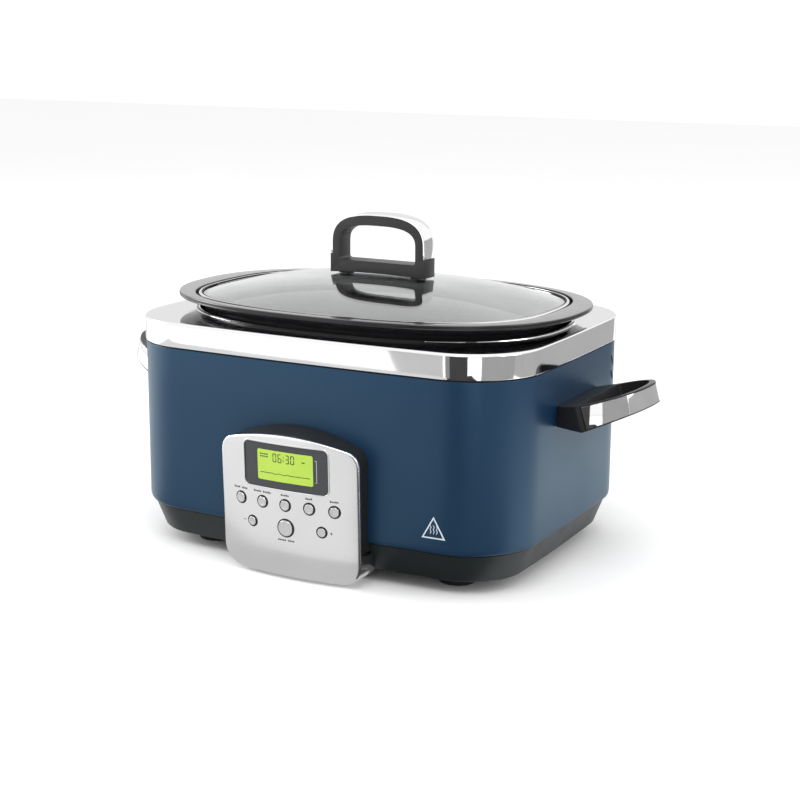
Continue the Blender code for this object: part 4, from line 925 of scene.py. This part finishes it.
def build_fascia():
    """Curved metal face with its window and button holes, and the toe that curls back below it."""
    outline = panel_outline(PANEL_HALF_WIDTH, TOE_BOTTOM, PANEL_TOP, PANEL_SIDE_DROP, PANEL_CORNER,
                            PANEL_FOOT_CORNER)
    edge = 0.0012
    sections = [(on_face(shrink(outline, 0.5), FASCIA_THICK), 0.0), (on_face(outline, FASCIA_THICK), 0.0)]
    for i in range(5):
        turn = math.pi / 2 * i / 4
        loop = on_face(inset(outline, edge * (1 - math.cos(turn))), edge * (1 - math.sin(turn)))
        sections.append((loop, 0.0))
    rim = inset(outline, edge)
    shares = (0.985, 0.96, 0.93, 0.90, 0.86, 0.82, 0.77, 0.72, 0.66, 0.60, 0.53, 0.46, 0.38, 0.30, 0.21, 0.12)
    sections += [(on_face(shrink(rim, share), 0.0), 0.0) for share in shares]
    fascia = skin("fascia", sections, ring=False)
    cutters = [plate("window_way", [window_outline(0.0)], 0.05, PANEL_VIEW)]
    for x, z, radius in BUTTONS.values():
        centre = Vector((x, face_y(x, z), z))
        normal = face_normal(x)
        ends = centre - normal * 0.006, centre + normal * 0.004
        cutters.append(bar("button_way", radius + CAP_GAP, *ends, 48))
    carve(fascia, cutters)
    register(fascia, "cooker", "chrome", ["panel_fascia"], "fascia")
    toe_top = CREASE - edge
    right = [p for p in outline if p[0] >= 0 and TOE_BOTTOM + 1e-6 < p[1] < toe_top]
    right.sort(key=lambda p: -p[1])
    bottom = [(right[-1][0] * (1 - 2 * i / 24), TOE_BOTTOM) for i in range(25)]
    left = [(-x, z) for x, z in reversed(right)]
    top = [(-right[0][0] + 2 * right[0][0] * i / 24, toe_top) for i in range(25)]
    sides = right + bottom + left + top
    front = on_face(inset(sides, -0.0001), FASCIA_THICK)
    back = [Vector((x, max(PANEL_FRONT + TOE_REACH, p.y + 0.0005), z)) for (x, z), p in zip(sides, front)]
    toe = skin("fascia_toe", [(front, 0.0), (back, 0.0)], ring=False)
    carve(toe, [envelope()])
    register(toe, "cooker", "chrome", ["panel_fascia"], "fascia")


def window_outline(inset_by, half=WINDOW_HALF_WIDTH, low=WINDOW_LOW, high=WINDOW_HIGH, corner=WINDOW_CORNER):
    """A rounded rectangle with shared points on its straight sides."""
    half, low, high, radius = half - inset_by, low + inset_by, high - inset_by, corner - inset_by
    corners = ((1, high - radius, 0), (-1, high - radius, 90), (-1, low + radius, 180), (1, low + radius, 270))
    arcs = [arc((sx * (half - radius), z), radius, turn, turn + 90, 10) for sx, z, turn in corners]
    return joined(arcs, (14, 8))


def slab_on_face(name, outline, depth, thick, soft=0.0):
    """A thin raised piece that follows the panel's curve."""
    sections = [(on_face(shrink(outline, 0.5), depth + thick), 0.0), (on_face(outline, depth + thick), 0.0),
                (on_face(outline, depth), soft)]
    sections += [(on_face(shrink(outline, share), depth), 0.0) for share in (0.9, 0.6, 0.3, 0.1)]
    return skin(name, sections, ring=False)


def build_window():
    window = slab_on_face("window", window_outline(GAP), WINDOW_RECESS, 0.0014, 0.0003)
    register(window, "cooker", "dark_window", ["display_window"])
    outer, inner = window_outline(-0.0007), window_outline(0.0004)
    ring = skin("window_frame", [(on_face(outer, 0.0), 0.0001), (on_face(outer, -0.0004), 0.0003),
                                 (on_face(inner, -0.0003), 0.0002), (on_face(inner, 0.0005), 0.0)])
    register(ring, "cooker", "chrome")
    outline = window_outline(0.0, LCD_HALF_WIDTH, LCD_LOW, LCD_HIGH, 0.0015)
    panel = slab_on_face("display", outline, 0.00035, 0.0003)
    register(panel, "cooker", "lcd")


def prisms(name, pairs):
    """Thin prisms, each from its front and its back corners."""
    bm = bmesh.new()
    for pair in pairs:
        front, back = [[bm.verts.new(p) for p in corners] for corners in pair]
        bm.faces.new(front)
        bm.faces.new(back[::-1])
        for i in range(4):
            j = (i + 1) % 4
            bm.faces.new((front[i], front[j], back[j], back[i]))
    return link(name, bm)


def mark(name, shapes, depth, thick, slot="dark_window", finish="ink"):
    """Thin marks on the panel, printed or painted shade: slanted or straight four-cornered outlines."""
    pairs = [(on_face(corners, depth), on_face(corners, depth + thick)) for corners in shapes]
    register(prisms(name, pairs), "cooker", slot, finish=finish)


def block(x, z, wide, tall):
    return [(x, z), (x + wide, z), (x + wide, z + tall), (x, z + tall)]


def build_warning():
    """Plain triangle with three waves, printed low on the front."""
    x, z, half, tall, line = 0.117, 0.0478, 0.0098, 0.0175, 0.00055
    outer = [(x - half, z), (x + half, z), (x, z + tall)]
    middle, share = (x, z + tall / 3), 1 - 3.2 * line / half
    inner = [(middle[0] + (cx - middle[0]) * share, middle[1] + (cz - middle[1]) * share) for cx, cz in outer]
    strips = [[outer[i], outer[(i + 1) % 3], inner[(i + 1) % 3], inner[i]] for i in range(3)]
    for step in (-0.0026, 0.0, 0.0026):
        for i in range(4):
            sway = 0.0004 if i % 2 else -0.0004
            low, high = z + 0.0038 + 0.0017 * i, z + 0.0055 + 0.0017 * i
            left, right = x + step + sway, x + step - sway
            strips.append([(left, low), (left + line, low), (right + line, high), (right, high)])
    pairs = [[[(px, body_front_y(px) + lift, pz) for px, pz in strip] for lift in (-0.0001, 0.0002)]
             for strip in strips]
    register(prisms("warning_mark", pairs), "cooker", "blue_paint", finish="white_ink")


SEGMENTS = {"0": "abcdef", "3": "abcdg", "6": "acdefg"}  # which of the seven bars each digit lights


def digit_bars(figure, x, z, wide, tall, width):
    """The lit bars of a seven-bar digit."""
    half, run, edge = tall / 2, wide - 2 * width, width * 0.4
    places = {
        "a": block(x + width, z + tall - width, run, width),
        "g": block(x + width, z + half - width / 2, run, width),
        "d": block(x + width, z, run, width),
        "f": block(x, z + half + edge, width, half - 2 * edge),
        "b": block(x + wide - width, z + half + edge, width, half - 2 * edge),
        "e": block(x, z + edge, width, half - 2 * edge),
        "c": block(x + wide - width, z + edge, width, half - 2 * edge),
    }
    return [places[lit] for lit in SEGMENTS[figure]]


def build_display_marks():
    z, wide, tall, stroke = 0.0962, 0.0034, 0.0070, 0.0007
    bars = []
    for figure, x in (("0", -0.0106), ("6", -0.0059), ("3", 0.0008), ("0", 0.0055)):
        bars += digit_bars(figure, x, z, wide, tall, stroke)
    bars += [block(-0.0011, z + 0.0018, 0.0008, 0.0008), block(-0.0011, z + 0.0044, 0.0008, 0.0008)]
    bars += [block(-0.0225 + 0.0020 * i, row, 0.0014, 0.0010) for row in (0.1012, 0.0992) for i in range(4)]
    bars += [block(0.0155, 0.0985, 0.0026, 0.0009)]
    path = [(-0.0225 + 0.045 * i / 40, 0.0867 + 0.0003 * math.sin(i * 0.9) * (1 if 8 < i < 26 else 0.15))
            for i in range(41)]
    bars += [[a, b, (b[0], b[1] + 0.0005), (a[0], a[1] + 0.0005)] for a, b in zip(path, path[1:])]
    mark("display_figures", bars, 0.00028, 0.00012, "lcd", "lcd_ink")
    bracket = [block(0.0277, 0.0845, 0.0007, 0.0170), block(0.0266, 0.1015, 0.0018, 0.0005),
               block(0.0266, 0.0840, 0.0018, 0.0005)]
    mark("window_bracket", bracket, 0.00052, 0.00012, "chrome", "steel")


def build_buttons():
    """Caps, skirts and rings of the buttons, the printed bars that stand for their caption words, and a painted
    shade line along the crease.
    """
    back = -FASCIA_THICK - GAP
    for name, (x, z, radius) in BUTTONS.items():
        centre = Vector((x, face_y(x, z), z))
        matrix = Matrix.Translation(centre) @ face_normal(x).to_track_quat("Z", "Y").to_matrix().to_4x4()
        hole = radius + CAP_GAP
        edge = hole + 0.0010
        cap = turned(f"{name}_cap", [
            (0.0, BUTTON_PROUD - 0.0003), (radius * 0.45, BUTTON_PROUD - 0.0002), (radius * 0.8, BUTTON_PROUD),
            (radius, BUTTON_PROUD), (radius, back), (0.0, back)], matrix, 48, 0.0004)
        register(cap, name, "chrome", [name], "button_cap")
        skirt = turned(f"{name}_skirt", [
            (0.0, back), (edge, back), (edge, back - 0.0009), (0.0018, back - 0.0009), (0.0018, back - 0.0030),
            (0.0, back - 0.0030)], matrix, 32, 0.0)
        register(skirt, name, "black_plastic", [name])
        ring = turned(f"{name}_ring", [
            (radius + 0.0003, 0.0002), (hole + 0.0003, 0.0002), (hole + 0.0003, -0.0004),
            (hole - 0.0001, -0.0006), (hole - 0.0001, -0.0018), (radius + 0.0003, -0.0018)], matrix, 48, 0.0001)
        register(ring, "cooker", "black_plastic")
    build_captions_and_crease_shade()


def build_captions_and_crease_shade():
    """Short bars in place of the words over and under the buttons, their signs, and a dark line of painted
    shade along the crease.
    """
    letter, pitch = 0.0011, 0.0015
    printed_and_shade_bars = []
    for i, words in enumerate(((4, 4), (5, 5), (5,), (4,), (5,))):
        letters = sum(words) + len(words) - 1
        left = PRESET_STEP * (i - 2) - letters * pitch / 2
        step = 0
        for word in words:
            for _ in range(word):
                printed_and_shade_bars.append(block(left + step * pitch, 0.0700, letter, 0.0012 if step % 3 else 0.0016))
                step += 1
            step += 1
    printed_and_shade_bars += [block(-0.0074 + pitch * i, 0.0334, letter, 0.0013) for i in range(10) if i != 5]
    printed_and_shade_bars += [block(-0.0406, 0.0447, 0.0024, 0.0005)]
    printed_and_shade_bars += [block(0.0382, 0.0447, 0.0024, 0.0005), block(0.03915, 0.04375, 0.0005, 0.0024)]
    # Painted shade: a dark line along the crease where the panel bends.
    printed_and_shade_bars += [block(-0.046, CREASE + 0.0004, 0.062, 0.0002), block(0.020, CREASE + 0.0004, 0.031, 0.0002)]
    mark("panel_print_and_crease_shade", printed_and_shade_bars, -0.00005, 0.0001)


def build_housing():
    """Black case between the body and the fascia."""
    depth = FASCIA_THICK + GAP
    low = CREASE - 0.001 + GAP
    back = -BODY_FRONT + 0.016

    def loop(inset_by, share):
        """The case's outline at a share of the way back."""
        rise = HOUSING_RISE * math.sin(math.pi / 2 * min(1.0, share * 1.6))
        high = PANEL_TOP - 0.0008 + rise - (inset_by - 0.001)
        outline = panel_outline(PANEL_HALF_WIDTH - inset_by, low, high,
                                PANEL_SIDE_DROP + rise * 0.8, PANEL_CORNER, 0.004)
        points = []
        for x, z in outline:
            front = face_y(x, z, depth)
            points.append(Vector((x, front + (back - front) * share, z)))
        return points, 0.0
    sections = [loop(0.0016, 0.0), loop(0.0010, 0.02)]
    sections += [loop(0.0010, share) for share in (0.08, 0.16, 0.24, 0.34, 0.45, 0.6, 0.8, 1.0)]
    sections += [loop(0.0035, 1.0), loop(0.0035, 0.0)]
    housing = carve(skin("panel_case", sections), [envelope()])
    register(housing, "cooker", "black_plastic", ["panel_housing"])


# ---------------- studio
def build_floor():
    bm = bmesh.new()
    bmesh.ops.create_grid(bm, x_segments=2, y_segments=2, size=FLOOR_SIZE)
    mesh = bpy.data.meshes.new("floor")
    bm.to_mesh(mesh)
    bm.free()
    floor = add_object("floor", mesh)
    floor.location.z = -0.0002
    n = Nodes("floor_finish")
    n.feed(Base_Color=n.mix(n.noise(3.0, 4.0), (0.86, 0.86, 0.86), (0.88, 0.88, 0.88)))
    n.set(Roughness=0.9, Specular_IOR_Level=0.0)
    mesh.materials.append(n.material)


def point_at(obj, place, aim, roll=0.0):
    """Puts a lamp or the camera in its place, looking at a point."""
    obj.location = place
    look = (Vector(aim) - Vector(place)).to_track_quat("-Z", "Y").to_matrix()
    obj.rotation_euler = (look @ Matrix.Rotation(roll, 3, "Z")).to_euler()


def area_light(name, place, aim, size, power):
    light = bpy.data.lights.new(name, "AREA")
    light.shape = "RECTANGLE"
    light.size, light.size_y = size
    light.energy = power
    point_at(add_object(name, light), place, aim)


def reflector(name, low, high, tone, height=CARD_HEIGHT, flat=False):
    """A card on the floor, or standing between two floor points, that only polished surfaces see."""
    if flat:
        corners = [(*low, 0.0), (high[0], low[1], 0.0), (*high, 0.0), (low[0], high[1], 0.0)]
    else:
        corners = [(*low, 0.0), (*high, 0.0), (*high, height), (*low, height)]
    mesh = bpy.data.meshes.new(name)
    mesh.from_pydata(corners, [], [(0, 1, 2, 3)])
    card = add_object(name, mesh)
    n = Nodes(f"{name}_finish")
    n.set(Base_Color=(0.0, 0.0, 0.0, 1.0), Roughness=1.0, Specular_IOR_Level=0.0, Emission_Strength=tone)
    n.feed(Emission_Color=n.mix(n.noise(6.0, 3.0), (0.8, 0.8, 0.8), (1.0, 1.0, 1.0)))
    mesh.materials.append(n.material)
    for view in ("camera", "diffuse", "shadow", "transmission"):
        setattr(card, f"visible_{view}", False)


def round_card(name, start, stop, distance, tone, height=CARD_HEIGHT):
    """A standing card that covers a range of bearings, in degrees from the front towards +X."""
    ends = [(distance * math.sin(math.radians(turn)), -distance * math.cos(math.radians(turn)))
            for turn in (start, stop)]
    reflector(name, ends[0], ends[1], tone, height)


def build_cards():
    """Cards round the cooker, seen only as reflections in metal and paint."""
    round_card("card_front", -14, 0, 0.62, 0.66)
    round_card("card_front_thin", 3, 9, 0.62, 0.30)
    round_card("card_front_dark", 9, 31, 0.62, 0.07)
    round_card("card_corner", 46, 82, 0.62, 0.42)
    round_card("card_side", 82, 160, 0.75, 0.50)
    round_card("card_back", 172, 250, 0.95, 0.95, 0.62)
    reflector("card_floor_left", (-0.75, -0.62), (0.06, -0.19), 0.86, flat=True)
    reflector("card_floor_toe", (-0.30, -0.19), (0.06, -0.10), 0.58, flat=True)
    reflector("card_floor", (0.06, -0.62), (0.42, -0.10), 0.06, flat=True)
    reflector("card_floor_side", (0.24, -0.10), (0.85, 0.90), 1.8, flat=True)


def build_light():
    world = bpy.data.worlds.new("studio")
    bpy.context.scene.world = world
    world.use_nodes = True
    background = world.node_tree.nodes["Background"]
    background.inputs["Color"].default_value = (1.0, 1.0, 1.0, 1.0)
    background.inputs["Strength"].default_value = 1.08
    area_light("key", (0.6, -1.2, 2.2), (0, 0, 0.1), (1.6, 1.2), 22)
    area_light("side", (2.2, -0.2, 1.1), (0, 0, 0.1), (1.2, 1.2), 14)
    area_light("rim", (-2.0, -0.4, 0.9), (0, 0, 0.1), (1.0, 1.0), 26)


def build_camera():
    camera = bpy.data.cameras.new("camera")
    camera.lens = CAMERA_LENS
    camera.sensor_width = 36.0
    obj = add_object("camera", camera)
    middle = Vector((0.0, Y_MID, 0.0))
    point_at(obj, Vector(CAMERA_PLACE) + middle, Vector(CAMERA_AIM) + middle, CAMERA_ROLL)
    bpy.context.scene.camera = obj


def main():
    build_camera()
    for part in frame["record"]["subparts"]:
        node = frame["nodes"][part["node"]]
        node.data.materials.clear()
        node.data.materials.append(MATERIALS[part["material_slot"]])
    for build in (build_shell, build_deck, build_base, build_feet, build_well, build_pot, build_rim,
                  build_glass, build_knob, build_handles, build_housing, build_warning, build_fascia,
                  build_window, build_display_marks, build_buttons, build_floor, build_cards, build_light):
        build()
    bpy.context.scene.view_settings.view_transform = "Standard"


main()
